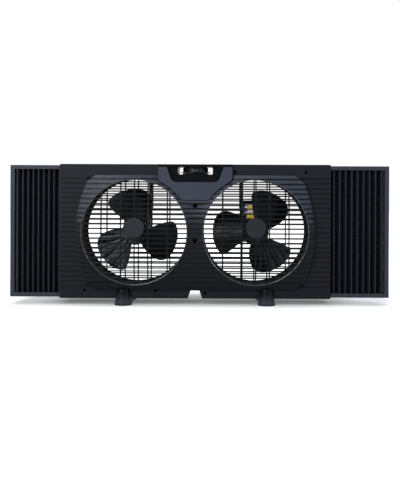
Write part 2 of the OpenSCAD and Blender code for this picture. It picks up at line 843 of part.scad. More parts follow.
module hub_clip(side) color("#a4a7aa") at_fan(side) difference() {
    rod(hub_boss_r + 1.2, y_rotor + hub_len / 2 - 3, y_rotor + hub_len / 2 - 1.6);
    rod(hub_boss_r, y_rotor, y_rotor + hub_len);
}
module hub_clip_left() hub_clip(LEFT);
module hub_clip_right() hub_clip(RIGHT);

module motor_shaft(side) color("#c3c6c8") at_fan(side)
    rod(shaft_d / 2, y_rotor - hub_len / 2 + 12, stack_end + bracket_reach + cup_t / 2 + 1);
module motor_shaft_left() motor_shaft(LEFT);
module motor_shaft_right() motor_shaft(RIGHT);

module armature(side) color("#8a8d90") at_fan(side) difference() {
    rod(stator_bore / 2 - armature_gap, y_stack - 1, stack_end + 1);
    rod(shaft_d / 2, y_stack - 2, stack_end + 2);
}
module armature_left() armature(LEFT);
module armature_right() armature(RIGHT);

coil_mid = stator_h - stator_low - stator_bar / 2;
module stator(side) color("#6d6f72") at_fan(side) difference() {
    block(-stator_w / 2, stator_w / 2, y_stack, stack_end, -stator_low, stator_h - stator_low);
    block(-stator_w / 2 + stator_arm, stator_w / 2 - stator_arm, y_stack - 1, stack_end + 1,
        window_low, stator_h - stator_low - stator_bar);
    rod(stator_bore / 2, y_stack - 1, stack_end + 1);
    for (x = [-bolt_x, bolt_x]) rod(bolt_r + 0.1, y_stack - 1, stack_end + 1, x);
}
module stator_left() stator(LEFT);
module stator_right() stator(RIGHT);

module coil(side) color("#d8b53a") at_fan(side) difference() {
    block(-coil_w / 2, coil_w / 2, y_stack + (stack_t - coil_d) / 2, y_stack + (stack_t + coil_d) / 2,
        max(coil_mid - coil_h / 2, window_low + 0.3), coil_mid + coil_h / 2);
    block(-stator_w, stator_w, y_stack - seat_gap, stack_end + seat_gap,
        coil_mid - stator_bar / 2 - seat_gap, coil_mid + stator_bar / 2 + seat_gap);
}
module coil_left() coil(LEFT);
module coil_right() coil(RIGHT);

// Bearing bracket, drawn for the front of the stack
module bracket() {
    face = y_stack - bracket_reach;
    difference() {
        union() {
            block(-bracket_half, bracket_half, face - bracket_t, face, -bracket_h / 2, bracket_h / 2);
            for (x = [-bolt_x, bolt_x])
                block(x - leg_w / 2, x + leg_w / 2, face - 0.5, y_stack, -bracket_h / 2, bracket_h / 2);
            rod(cup_r, face - cup_t / 2, face + cup_t / 2);
        }
        rod(bush_r, face - cup_t, face + cup_t);
        for (x = [-bolt_x, bolt_x]) rod(bolt_r + 0.1, face - 5, y_stack + 1, x);
    }
}
module behind_stack() {
    translate([0, 2 * y_stack + stack_t, 0]) mirror([0, 1, 0]) children();
}
module front_bracket(side) color("#9a9c9e") at_fan(side) bracket();
module rear_bracket(side) color("#9a9c9e") at_fan(side) behind_stack() bracket();
module front_bracket_left() front_bracket(LEFT);
module front_bracket_right() front_bracket(RIGHT);
module rear_bracket_left() rear_bracket(LEFT);
module rear_bracket_right() rear_bracket(RIGHT);

module bush() {
    face = y_stack - bracket_reach;
    difference() {
        rod(bush_r, face - cup_t / 2, face + cup_t / 2);
        rod(shaft_d / 2 + shaft_gap, face - cup_t, face + cup_t);
    }
}
module bushes(side) color("#b08d57") at_fan(side) {
    bush();
    behind_stack() bush();
}
module bushes_left() bushes(LEFT);
module bushes_right() bushes(RIGHT);

// Through bolts that clamp brackets and stack to the rear grille's pad
module motor_bolts(side) color("#9b9da0") at_fan(side) for (x = [-bolt_x, bolt_x]) {
    rod(bolt_r, y_stack - bracket_reach - bracket_t - 1, stack_end + bracket_reach + bracket_t, x);
    rod(bolt_r - 0.3, stack_end + bracket_reach, y_back - 0.5, x);
    rod(3.4, y_stack - bracket_reach - bracket_t - 2.4, y_stack - bracket_reach - bracket_t, x);
}
module motor_bolts_left() motor_bolts(LEFT);
module motor_bolts_right() motor_bolts(RIGHT);

// Wires from the switch over the duct and down the strut to the coil
strut_x = fan_x - upright_in;
wire_y = y_grille - strut_d / 2 - 1;
coil_side = fan_x - coil_w / 2;
duct_top = fan_z + duct_r + duct_wall;
pad_top = fan_z + pad_high;
wire_start_y = dial_y + 4.8 + wire_d / 2 + 0.05;
wire_route = [
    [12, wire_start_y, switch_z - 1.5], [12, wire_start_y, switch_z - 9],
    [14, wire_start_y + 7, switch_z - 15], [22, 2, switch_z - 17], [36, 16, switch_z - 13],
    [56, 27, switch_z - 5], [strut_x - 25, wire_y, duct_top - 2.5],
    [strut_x - 12, wire_y, duct_top + 3.5], [strut_x - 4, wire_y, duct_top + 1.5],
    [strut_x, wire_y, duct_top - 6.5], [strut_x, wire_y, (duct_top + pad_top) / 2],
    [strut_x, wire_y, pad_top + 1], [strut_x + 1.5, wire_y - 1, pad_top - 6],
    [strut_x + 6, wire_y - 1.5, pad_top - 10], [coil_side - 0.4, wire_y - 1.5, pad_top - 11],
];
module wiring(side) color("#1b1b1d") sided(side) wire(wire_route, wire_d);
module wiring_left() wiring(LEFT);
module wiring_right() wiring(RIGHT);

// Foot: a bar under the body between two rounded posts that hold it at front and rear
module foot(side) color("#1b1c20") translate([side * foot_x, 0, 0]) {
    difference() {
        union() {
            block(-foot_bar_w / 2, foot_bar_w / 2, -foot_y, foot_y, 0, lift);
            for (sy = [-1, 1]) translate([0, sy * foot_y, 0])
                cylinder(d1 = foot_low_d, d2 = foot_top_d, h = foot_post);
        }
        block(-foot_low_d, foot_low_d, y_face - seat_gap, y_rear + seat_gap, lift, z_top);
    }
    rod(peg_r, y_face - 1, y_face + peg_in, 0, z_low + peg_up);
}
module foot_left() foot(LEFT);
module foot_right() foot(RIGHT);

// Expander frame: two rails and a stile, open towards the body, grooved for the curtain
rail_z0 = z_low + wall + slide_gap;
rail_z1 = z_top - wall - slide_gap;
module expander_frame(side, out) color("#30333b") sided(side) {
    x1 = half_w + out;
    x0 = x1 - expander_len;
    groove_y0 = y_rail + (expander_d - curtain_d) / 2 - 0.3;
    groove_y1 = rail_end - (expander_d - curtain_d) / 2 + 0.3;
    difference() {
        block(x0, x1, y_rail, rail_end, rail_z0, rail_z1);
        block(x0 - 1, x1 - stile_w, y_rail - 1, rail_end + 1, rail_z0 + rail_w, rail_z1 - rail_w);
        block(x0 - 1, x1 - stile_w, groove_y0, groove_y1,
            rail_z0 + rail_w - rail_groove, rail_z1 - rail_w + rail_groove);
    }
}
module expander_frame_left() expander_frame(LEFT, left_out);
module expander_frame_right() expander_frame(RIGHT, right_out);

// Pleated curtain between the pocket in the body and the stile
module curtain(side, out) color("#14161a") sided(side) {
    x1 = half_w + out - stile_w - 0.3;
    pitch = (x1 - curtain_x) / pleats;
    y_mid = (y_rail + rail_end) / 2;
    swing = curtain_d / 2 - sheet_t;
    steep = sqrt(1 + pow(4 * swing / pitch, 2)) * sheet_t / 2;
    knots = [for (k = [0:2 * pleats]) [curtain_x + k * pitch / 2, y_mid + (k % 2 == 0 ? swing : -swing)]];
    front = [for (p = knots) [p.x, p.y - steep]];
    back = [for (i = [len(knots) - 1:-1:0]) [knots[i].x, knots[i].y + steep]];
    translate([0, 0, rail_z0 + rail_w - rail_groove + curtain_gap])
        linear_extrude(rail_z1 - rail_z0 - 2 * (rail_w - rail_groove + curtain_gap))
            intersection() {
                polygon(concat(front, back));
                translate([0, y_rail + (expander_d - curtain_d) / 2])
                    square([2 * body_w, curtain_d]);
            }
}
module curtain_left() curtain(LEFT, left_out);
module curtain_right() curtain(RIGHT, right_out);

front_frame();
front_cover();
rear_housing();
control_pod();
handle_tray();
control_dial();
rotary_switch();
switch_spindle();
switch_nut();
cord_bush();
housing_screws();
cover_screws();
front_grille_left();
front_grille_right();
rear_grille_left();
rear_grille_right();
fan_rotor_left();
fan_rotor_right();
hub_clip_left();
hub_clip_right();
motor_shaft_left();
motor_shaft_right();
armature_left();
armature_right();
stator_left();
stator_right();
coil_left();
coil_right();
front_bracket_left();
front_bracket_right();
rear_bracket_left();
rear_bracket_right();
bushes_left();
bushes_right();
motor_bolts_left();
motor_bolts_right();
wiring_left();
wiring_right();
foot_left();
foot_right();
expander_frame_left();
expander_frame_right();
curtain_left();
curtain_right();
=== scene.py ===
"""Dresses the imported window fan: finishes, pleated curtains, windings, leads, stage, lights and camera."""

import logging
import math
from dataclasses import dataclass
from enum import Enum

import bmesh
import bpy
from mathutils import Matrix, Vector

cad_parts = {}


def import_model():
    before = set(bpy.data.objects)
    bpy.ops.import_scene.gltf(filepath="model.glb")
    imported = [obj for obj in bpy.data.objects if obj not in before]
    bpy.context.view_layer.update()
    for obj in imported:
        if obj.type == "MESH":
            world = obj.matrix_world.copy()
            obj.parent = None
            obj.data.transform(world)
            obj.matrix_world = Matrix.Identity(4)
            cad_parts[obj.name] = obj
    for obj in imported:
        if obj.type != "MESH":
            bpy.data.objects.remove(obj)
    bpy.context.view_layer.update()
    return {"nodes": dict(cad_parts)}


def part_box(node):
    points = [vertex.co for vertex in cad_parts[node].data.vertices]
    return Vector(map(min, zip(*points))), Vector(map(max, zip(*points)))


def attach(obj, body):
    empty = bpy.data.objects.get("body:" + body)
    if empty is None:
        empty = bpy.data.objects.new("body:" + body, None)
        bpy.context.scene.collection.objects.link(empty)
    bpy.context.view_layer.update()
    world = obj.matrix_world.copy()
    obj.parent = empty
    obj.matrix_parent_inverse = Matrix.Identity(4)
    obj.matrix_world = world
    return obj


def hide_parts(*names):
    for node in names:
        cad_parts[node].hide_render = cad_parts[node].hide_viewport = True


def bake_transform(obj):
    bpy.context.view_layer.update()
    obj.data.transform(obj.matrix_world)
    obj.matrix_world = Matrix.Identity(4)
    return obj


log = logging.getLogger("window_fan")

MM = 0.001

# Where the two ducts' axes stand from the middle and above the floor, and how far their walls reach.
DUCT_X = 136.0 * MM
DUCT_Z = 163.5 * MM
DUCT_REACH_MM = 119.9
# The depth at which the blades' middle turns, and that of the dial's axis.
BLADE_Y = -19.5 * MM
DIAL_Y = -23.0 * MM
# A direction that no lead or tube runs along, from which their cross-sections start.
ASLANT = Vector((0.35, 0.9, 0.25)).normalized()


class Side(Enum):
    """The two halves of the fan, as the viewer sees them."""

    LEFT = -1
    RIGHT = 1

    @property
    def word(self) -> str:
        """The side's name in lower case, as the CAD nodes spell it."""
        return self.name.lower()


# --- materials: small helpers ---------------------------------------------------------------

# Settings that many nodes share: a mix of two colours, and a smooth rise between two values.
COLOURS = {"data_type": "RGBA"}
SMOOTH = {"clamp": True, "interpolation_type": "SMOOTHSTEP"}


def linear(code: str) -> tuple[float, float, float, float]:
    """Turns an sRGB hex colour into linear red, green, blue and alpha.

    Args:
        code: Six hex digits, with or without a leading #.

    Returns:
        The colour as Blender's sockets want it.
    """
    digits = code.lstrip("#")
    parts = [int(digits[i : i + 2], 16) / 255 for i in (0, 2, 4)]
    return (*(p / 12.92 if p <= 0.04045 else ((p + 0.055) / 1.055) ** 2.4 for p in parts), 1.0)


def grey(value: float) -> tuple[float, float, float, float]:
    """A grey, as a ramp or a mix wants it where it steers roughness, light or a mask."""
    return (value, value, value, 1.0)


def greys(*stops: tuple[float, float]) -> dict:
    """Settings of a ramp between greys, from pairs of place and value."""
    return {"stops": [(place, grey(value)) for place, value in stops]}


def per_metre(size_mm: float) -> float:
    """Texture scale at which a pattern in metres repeats about every size_mm."""
    return 1000.0 / size_mm


def wave_scale(size_mm: float) -> float:
    """Scale at which a wave texture repeats every size_mm; at scale 1 it does so every tau / 20."""
    return per_metre(size_mm) * math.tau / 20


def blotches(place: bpy.types.NodeSocket, size_mm: float, detail: float) -> dict:
    """Inputs of a noise texture whose blotches are about size_mm across.

    Args:
        place: The coordinates, in metres.
        size_mm: The blotches' size.
        detail: How many finer octaves the noise has.

    Returns:
        The texture's inputs by name.
    """
    return {"Vector": place, "Scale": per_metre(size_mm), "Detail": detail, "Roughness": 0.55}


def set_stops(node: bpy.types.Node, stops: list[tuple[float, tuple]]) -> None:
    """Sets the stops of a colour ramp.

    Args:
        node: The ramp.
        stops: Pairs of place and linear colour, from low to high.
    """
    bar = node.color_ramp.elements
    while len(bar) < len(stops):
        bar.new(0.5)
    for element, (place, colour) in zip(bar, stops):
        element.position = place
        element.color = colour


def add_node(
    tree: bpy.types.NodeTree,
    kind: str,
    settings: dict | None = None,
    inputs: dict | None = None,
) -> bpy.types.Node:
    """Adds one node with its settings, values and links.

    Args:
        tree: The node tree that takes the node.
        kind: Blender's name for the node's type, without the ShaderNode in front.
        settings: Attributes to set on the node; a ramp's "stops" are pairs of place and colour.
        inputs: Input names or numbers, each with a value, or with the socket or the node that feeds
            it. A node feeds from the first output that it has in use.

    Returns:
        The new node.
    """
    node = tree.nodes.new(f"ShaderNode{kind}")
    for key, value in (settings or {}).items():
        if key == "stops":
            set_stops(node, value)
        else:
            setattr(node, key, value)
    for key, value in (inputs or {}).items():
        if isinstance(value, bpy.types.Node):
            value = next(socket for socket in value.outputs if socket.enabled)
        if isinstance(value, bpy.types.NodeSocket):
            tree.links.new(value, node.inputs[key])
        else:
            node.inputs[key].default_value = value
    return node


def new_material(name: str) -> tuple[bpy.types.Material, bpy.types.NodeTree]:
    """Makes an empty node material.

    Args:
        name: The material's name.

    Returns:
        The material and its cleared node tree.
    """
    material = bpy.data.materials.new(name)
    material.use_nodes = True
    material.node_tree.nodes.clear()
    return material, material.node_tree


def finish_shader(tree: bpy.types.NodeTree, values: dict) -> None:
    """Ends a material in a Principled shader.

    Args:
        tree: The node tree.
        values: The shader's inputs by name.
    """
    shader = add_node(tree, "BsdfPrincipled", inputs=values)
    add_node(tree, "OutputMaterial", inputs={"Surface": shader})


def worn_edges(tree: bpy.types.NodeTree, radius_mm: float) -> bpy.types.Node:
    """Finds the outer edges of a shape by comparing its normal with a rounded one.

    Args:
        tree: The node tree.
        radius_mm: How far the wear reaches from an edge.

    Returns:
        A node that gives 1 on edges and 0 on flats.
    """
    soft = add_node(tree, "Bevel", {"samples": 6}, {"Radius": radius_mm * MM})
    hard = add_node(tree, "NewGeometry").outputs["Normal"]
    agree = add_node(tree, "VectorMath", {"operation": "DOT_PRODUCT"}, {0: soft, 1: hard})
    inverse = add_node(tree, "Math", {"operation": "SUBTRACT"}, {0: 1.0, 1: agree})
    return add_node(tree, "MapRange", {"clamp": True}, {"Value": inverse, "From Min": 0.02, "From Max": 0.25})


# --- materials: one class per real material -------------------------------------------------


@dataclass(frozen=True)
class GrooveRows:
    """The rows of shallow grooves between a shell's ribs, whose floors get painted shade."""

    width_mm: float
    depth: float
    first_mm: float = 171.8
    pitch_mm: float = 11.05
    low: int = -11
    high: int = 10
    # The near-black colour of the painted shade in the grooves.
    tone: str = "#040506"

    def mask(self, tree: bpy.types.NodeTree, place: bpy.types.NodeSocket) -> bpy.types.Node:
        """Finds the grooves on faces that look forwards or backwards.

        Args:
            tree: The node tree.
            place: The coordinates, in metres.

        Returns:
            A node that gives the groove's depth in a groove and 0 elsewhere.
        """
        up = add_node(tree, "SeparateXYZ", inputs={"Vector": place}).outputs["Z"]
        above = add_node(tree, "Math", {"operation": "SUBTRACT"}, {0: up, 1: self.first_mm * MM})
        count = add_node(tree, "Math", {"operation": "DIVIDE"}, {0: above, 1: self.pitch_mm * MM})
        whole = add_node(tree, "Math", {"operation": "ROUND"}, {0: count})
        off = add_node(tree, "Math", {"operation": "SUBTRACT"}, {0: count, 1: whole})
        near = add_node(tree, "Math", {"operation": "ABSOLUTE"}, {0: off})
        half = self.width_mm / 2 / self.pitch_mm
        line = add_node(tree, "Math", {"operation": "LESS_THAN"}, {0: near, 1: half})
        from_low = add_node(tree, "Math", {"operation": "GREATER_THAN"}, {0: whole, 1: self.low - 0.5})
        to_high = add_node(tree, "Math", {"operation": "LESS_THAN"}, {0: whole, 1: self.high + 0.5})
        normal = add_node(tree, "NewGeometry").outputs["Normal"]
        facing = add_node(tree, "SeparateXYZ", inputs={"Vector": normal}).outputs["Y"]
        square_on = add_node(tree, "Math", {"operation": "ABSOLUTE"}, {0: facing})
        flat = add_node(tree, "Math", {"operation": "GREATER_THAN"}, {0: square_on, 1: 0.9})
        rows = add_node(tree, "Math", {"operation": "MULTIPLY"}, {0: from_low, 1: to_high})
        inside = add_node(tree, "Math", {"operation": "MULTIPLY"}, {0: rows, 1: flat})
        groove = add_node(tree, "Math", {"operation": "MULTIPLY"}, {0: line, 1: inside})
        return add_node(tree, "Math", {"operation": "MULTIPLY"}, {0: groove, 1: self.depth})


@dataclass(frozen=True)
class MouldedAbs:
    """ABS moulded in a spark-eroded tool: a fine, even grain that spreads the highlights."""

    name: str
    tone: str
    lit: str
    roughness: float = 0.46
    grain_mm: float = 0.55  # real spark grain is 0.1 to 0.3 mm; drawn coarser so that it shows
    grain_depth_mm: float = 0.012
    cloud_mm: float = 42.0
    handled_mm: float = 9.0
    wear: float = 0.35
    wear_mm: float = 0.7
    worn_tone: str = "#5c6068"
    sheen_level: float = 0.1
    bore_mm: float = 0.0
    bore_shade_tone: str = "#020203"
    # Painted top light: how much faces that lean upwards are coloured paler, and the colour (also used for
    # the feet's painted light).
    dust: float = 0.0
    dust_tone: str = "#3a3e46"
    grooves: GrooveRows | None = None
    # Height of the feet's painted light and shade, or 0 for none.
    painted_shading_mm: float = 0.0

    def build(self) -> bpy.types.Material:
        """Builds the grain, the faint clouds of the moulding, painted top light, painted shade in the ducts
        and the paler worn edges.

        Returns:
            The material.
        """
        material, tree = new_material(self.name)
        place = add_node(tree, "TexCoord").outputs["Object"]
        colour = self.coloured(tree, place)
        grain = add_node(tree, "TexNoise", inputs=blotches(place, self.grain_mm, 2.0))
        handled = add_node(tree, "TexNoise", inputs=blotches(place, self.handled_mm, 5.0))
        shine = greys((0.25, self.roughness - 0.05), (0.8, self.roughness + 0.07))
        rough = add_node(tree, "ValToRGB", shine, {"Fac": handled})
        # Painted shade: the duct walls are coloured near-black.
        if self.bore_mm:
            bores = self.inside_bores(tree, place)
            black = linear(self.bore_shade_tone)
            colour = add_node(tree, "Mix", COLOURS, {"Factor": bores, "A": colour, "B": black})
            rough = add_node(tree, "Mix", COLOURS, {"Factor": bores, "A": rough, "B": grey(1.0)})
        relief = {"Height": grain, "Distance": self.grain_depth_mm * MM, "Strength": 0.6}
        finish_shader(
            tree,
            {
                "Base Color": colour,
                "Roughness": rough,
                "IOR": 1.54,
                "Specular IOR Level": self.sheen_level,
                "Normal": add_node(tree, "Bump", inputs=relief),
            },
        )
        return material

    def coloured(self, tree: bpy.types.NodeTree, place: bpy.types.NodeSocket) -> bpy.types.Node:
        """Builds the colour with its clouds, painted top light, painted light and shade low on the feet,
        paler worn edges and painted shade in the grooves.

        Args:
            tree: The node tree.
            place: The coordinates, in metres.

        Returns:
            A node that gives the colour.
        """
        cloud = add_node(tree, "TexNoise", inputs=blotches(place, self.cloud_mm, 4.0))
        ends = {"A": linear(self.tone), "B": linear(self.lit)}
        colour = add_node(tree, "Mix", COLOURS, {"Factor": cloud, **ends})
        painted_pale, worn = linear(self.dust_tone), linear(self.worn_tone)
        # Painted top light: faces that lean upwards are coloured paler.
        if self.dust:
            upward_share = self.upward(tree, cloud)
            film = add_node(tree, "Math", {"operation": "MULTIPLY"}, {0: upward_share, 1: self.dust})
            colour = add_node(tree, "Mix", COLOURS, {"Factor": film, "A": colour, "B": painted_pale})
        # Painted light and shade on the feet: paler just above the floor, darker towards the top.
        if self.painted_shading_mm:
            painted_foot_light = self.low_down(tree, place)
            colour = add_node(tree, "Mix", COLOURS, {"Factor": painted_foot_light, "A": colour, "B": painted_pale})
        edge = worn_edges(tree, self.wear_mm)
        rubbed = add_node(tree, "Math", {"operation": "MULTIPLY"}, {0: edge, 1: self.wear})
        colour = add_node(tree, "Mix", COLOURS, {"Factor": rubbed, "A": colour, "B": worn})
        # Painted shade: the groove floors are coloured near-black.
        if self.grooves:
            rows, dark = self.grooves.mask(tree, place), linear(self.grooves.tone)
            colour = add_node(tree, "Mix", COLOURS, {"Factor": rows, "A": colour, "B": dark})
        return colour

    def upward(self, tree: bpy.types.NodeTree, cloud: bpy.types.Node) -> bpy.types.Node:
        """Finds what leans upwards, which is painted paler as if lit from above.

        Args:
            tree: The node tree.
            cloud: A noise that breaks the painted light's border.

        Returns:
            A node that gives 1 where the painted top light lies and 0 elsewhere.
        """
        normal = add_node(tree, "NewGeometry").outputs["Normal"]
        lean = add_node(tree, "SeparateXYZ", inputs={"Vector": normal}).outputs["Z"]
        ragged = add_node(tree, "Math", {"operation": "MULTIPLY"}, {0: cloud, 1: 0.02})
        lean = add_node(tree, "Math", {"operation": "ADD"}, {0: lean, 1: ragged})
        return add_node(tree, "MapRange", SMOOTH, {"Value": lean, "From Min": 0.0, "From Max": 0.17})

    def low_down(self, tree: bpy.types.NodeTree, place: bpy.types.NodeSocket) -> bpy.types.Node:
        """Finds the foot's lower part, painted paler as if lit, with its top painted darker as if in the
        body's shade.

        Args:
            tree: The node tree.
            place: The coordinates, in metres.

        Returns:
            A node that is highest where the painted light is strongest and 0 above it.
        """
        height = add_node(tree, "SeparateXYZ", inputs={"Vector": place}).outputs["Z"]
        share = add_node(tree, "Math", {"operation": "DIVIDE"}, {0: height, 1: self.painted_shading_mm * MM})
        painted_foot_light = greys((0.0, 0.35), (0.2, 0.9), (0.42, 0.5), (0.7, 0.1), (1.0, 0.0))
        return add_node(tree, "ValToRGB", painted_foot_light, {"Fac": share})

    def inside_bores(self, tree: bpy.types.NodeTree, place: bpy.types.NodeSocket) -> bpy.types.Node:
        """Finds the walls of the two air ducts, which get painted shade: a near-black colour, with full
        roughness.

        Args:
            tree: The node tree.
            place: The coordinates, in metres.

        Returns:
            A node that gives 1 inside the ducts and 0 elsewhere.
        """
        parts = add_node(tree, "SeparateXYZ", inputs={"Vector": place}).outputs
        aside = add_node(tree, "Math", {"operation": "ABSOLUTE"}, {0: parts["X"]})
        x = add_node(tree, "Math", {"operation": "SUBTRACT"}, {0: aside, 1: DUCT_X})
        z = add_node(tree, "Math", {"operation": "SUBTRACT"}, {0: parts["Z"], 1: DUCT_Z})
        x_square, z_square = (
            add_node(tree, "Math", {"operation": "MULTIPLY"}, {0: way, 1: way}) for way in (x, z)
        )
        square = add_node(tree, "Math", {"operation": "ADD"}, {0: x_square, 1: z_square})
        reach = (self.bore_mm * MM) ** 2
        near = add_node(tree, "Math", {"operation": "LESS_THAN"}, {0: square, 1: reach})
        normal = add_node(tree, "NewGeometry").outputs["Normal"]
        facing = add_node(tree, "SeparateXYZ", inputs={"Vector": normal}).outputs["Y"]
        square_on = add_node(tree, "Math", {"operation": "ABSOLUTE"}, {0: facing})
        wall = add_node(tree, "Math", {"operation": "LESS_THAN"}, {0: square_on, 1: 0.6})
        return add_node(tree, "Math", {"operation": "MULTIPLY"}, {0: near, 1: wall})


@dataclass(frozen=True)
class MouldedPolypropylene:
    """Polypropylene moulded from a gate at the hub: waxy, with flow ripples that fan out from it."""

    name: str
    tone: str
    lit: str
    painted_streak_tone: str
    painted_streaks_at: float  # degrees around the hub to the blade with the strongest painted highlight streaks
    centre: tuple[float, float, float]
    roughness: float = 0.22
    drift_mm: float = 22.0
    flow_mm: float = 5.0  # real ripples are 2 to 3 mm apart; drawn coarser so that they show
    flow_at_mm: float = 60.0
    flow_depth_mm: float = 0.9
    sweep: float = 30.0  # radians that the ripples turn backwards per metre outwards
    breaks: float = 18.0  # how often a ripple breaks up per metre outwards

    def build(self) -> bpy.types.Material:
        """Builds the ripples, painted highlight streaks on their crests and a waxy shine.

        Returns:
            The material.
        """
        material, tree = new_material(self.name)
        coordinates = add_node(tree, "TexCoord").outputs["Object"]
        from_hub = {0: coordinates, 1: self.centre}
        place = add_node(tree, "VectorMath", {"operation": "SUBTRACT"}, from_hub).outputs["Vector"]
        drift = add_node(tree, "TexNoise", inputs=blotches(place, self.drift_mm, 3.0))
        ripples = self.fanned(tree, place)
        ends = {"A": linear(self.tone), "B": linear(self.lit)}
        colour = add_node(tree, "Mix", COLOURS, {"Factor": drift, **ends})
        # Painted highlight: the crests are coloured paler, most of all on one blade, as streaks of reflected
        # light.
        crest = add_node(tree, "ValToRGB", greys((0.45, 0.0), (0.66, 1.0)), {"Fac": ripples})
        last = self.painted_streak_mask(tree, place)
        painted_streaks = add_node(tree, "Math", {"operation": "MULTIPLY"}, {0: crest, 1: last})
        pale = linear(self.painted_streak_tone)
        colour = add_node(tree, "Mix", COLOURS, {"Factor": painted_streaks, "A": colour, "B": pale})
        shine = greys((0.3, self.roughness), (0.75, self.roughness + 0.12))
        relief = {"Height": ripples, "Distance": self.flow_depth_mm * MM, "Strength": 1.0}
        finish_shader(
            tree,
            {
                "Base Color": colour,
                "Roughness": add_node(tree, "ValToRGB", shine, {"Fac": drift}),
                "IOR": 1.49,
                "Specular IOR Level": 0.09,
                "Normal": add_node(tree, "Bump", inputs=relief),
            },
        )
        return material

    def around_hub(self, tree: bpy.types.NodeTree, place: bpy.types.NodeSocket) -> bpy.types.Node:
        """Finds the angle around the hub.

        Args:
            tree: The node tree.
            place: The coordinates from the rotor's middle, in metres.

        Returns:
            A node that gives the angle in radians, from the viewer's right upwards.
        """
        parts = add_node(tree, "SeparateXYZ", inputs={"Vector": place}).outputs
        return add_node(tree, "Math", {"operation": "ARCTAN2"}, {0: parts["Z"], 1: parts["X"]})

    def painted_streak_mask(self, tree: bpy.types.NodeTree, place: bpy.types.NodeSocket) -> bpy.types.Node:
        """A mask that is 1 at the blade with the strongest painted highlight streaks and fades around the
        hub.

        Args:
            tree: The node tree.
            place: The coordinates from the rotor's middle, in metres.

        Returns:
            A node that gives the mask.
        """
        turn = self.around_hub(tree, place)
        middle = math.radians(self.painted_streaks_at)
        off = add_node(tree, "Math", {"operation": "SUBTRACT"}, {0: turn, 1: middle})
        facing = add_node(tree, "Math", {"operation": "COSINE"}, {0: off})
        raised = add_node(tree, "Math", {"operation": "ADD"}, {0: facing, 1: 1.0})
        half = add_node(tree, "Math", {"operation": "MULTIPLY"}, {0: raised, 1: 0.5})
        return add_node(tree, "Math", {"operation": "POWER"}, {0: half, 1: 4.0})

    def fanned(self, tree: bpy.types.NodeTree, place: bpy.types.NodeSocket) -> bpy.types.Node:
        """A noise that is long outwards from the hub and narrow around it.

        Args:
            tree: The node tree.
            place: The coordinates from the rotor's middle, in metres.

        Returns:
            A node that gives the ripples' height.
        """
        turn = self.around_hub(tree, place)
        flat = add_node(tree, "Mapping", inputs={"Vector": place, "Scale": (1.0, 0.0, 1.0)})
        out = add_node(tree, "VectorMath", {"operation": "LENGTH"}, {0: flat})
        per_turn = self.flow_at_mm / self.flow_mm
        around = add_node(tree, "Math", {"operation": "MULTIPLY"}, {0: turn, 1: per_turn})
        # The ripples sweep backwards a little as they run out, as the melt did.
        lag = add_node(tree, "Math", {"operation": "MULTIPLY"}, {0: out, 1: self.sweep})
        swept = add_node(tree, "Math", {"operation": "ADD"}, {0: around, 1: lag})
        along = add_node(tree, "Math", {"operation": "MULTIPLY"}, {0: out, 1: self.breaks})
        fan = add_node(tree, "CombineXYZ", inputs={"X": swept, "Y": along})
        values = {"Vector": fan, "Scale": 1.0, "Detail": 2.0, "Roughness": 0.5}
        return add_node(tree, "TexNoise", inputs=values)


@dataclass(frozen=True)
class PolishedBead:
    """ABS against a mirror-polished tool insert: lacquer-smooth, it draws a lamp out into one line."""

    name: str
    tone: str
    lit: str
    cloud_mm: float = 14.0
    ripple_mm: float = 3.0

    def build(self) -> bpy.types.Material:
        """Builds the faint mottling under a glassy top.

        Returns:
            The material.
        """
        material, tree = new_material(self.name)
        place = add_node(tree, "TexCoord").outputs["Object"]
        cloud = add_node(tree, "TexNoise", inputs=blotches(place, self.cloud_mm, 3.0))
        ripple = add_node(tree, "TexNoise", inputs=blotches(place, self.ripple_mm, 2.0))
        ends = {"A": linear(self.tone), "B": linear(self.lit)}
        relief = {"Height": ripple, "Distance": 0.004 * MM, "Strength": 0.3}
        finish_shader(
            tree,
            {
                "Base Color": add_node(tree, "Mix", COLOURS, {"Factor": cloud, **ends}),
                "Roughness": add_node(tree, "ValToRGB", greys((0.3, 0.16), (0.75, 0.24)), {"Fac": cloud}),
                "IOR": 1.54,
                "Specular IOR Level": 0.5,
                "Coat Weight": 1.0,
                "Coat Roughness": 0.14,
                "Normal": add_node(tree, "Bump", inputs=relief),
            },
        )
        return material


@dataclass(frozen=True)
class ExtrudedPvc:
    """Plasticised PVC sheet, extruded and creased: drawn lines run along the height, creases go pale, part
    rubbed and part painted highlight.
    """

    name: str
    tone: str
    lit: str
    line_mm: float = 1.2
    cloud_mm: float = 30.0
    crease_mm: float = 1.1
    crease_tone: str = "#5d6370"

    def build(self) -> bpy.types.Material:
        """Builds the drawn lines and the paler creases, part rubbed PVC and part painted crest highlight.

        Returns:
            The material.
        """
        material, tree = new_material(self.name)
        place = add_node(tree, "TexCoord").outputs["Object"]
        drawn = add_node(tree, "Mapping", inputs={"Vector": place, "Scale": (1.0, 1.0, 0.03)})
        lines = add_node(tree, "TexNoise", inputs=blotches(drawn, self.line_mm, 3.0))
        cloud = add_node(tree, "TexNoise", inputs=blotches(place, self.cloud_mm, 3.0))
        ends = {"A": linear(self.tone), "B": linear(self.lit)}
        colour = add_node(tree, "Mix", COLOURS, {"Factor": cloud, **ends})
        # Paler creases: part rubbed PVC, part painted crest highlight.
        edge = worn_edges(tree, self.crease_mm)
        rubbed = add_node(tree, "Math", {"operation": "MULTIPLY"}, {0: edge, 1: 0.7})
        pale = linear(self.crease_tone)
        relief = {"Height": lines, "Distance": 0.03 * MM, "Strength": 0.5}
        finish_shader(
            tree,
            {
                "Base Color": add_node(tree, "Mix", COLOURS, {"Factor": rubbed, "A": colour, "B": pale}),
                "Roughness": add_node(tree, "ValToRGB", greys((0.3, 0.36), (0.7, 0.5)), {"Fac": lines}),
                "IOR": 1.53,
                "Specular IOR Level": 0.18,
                "Normal": add_node(tree, "Bump", inputs=relief),
            },
        )
        return material


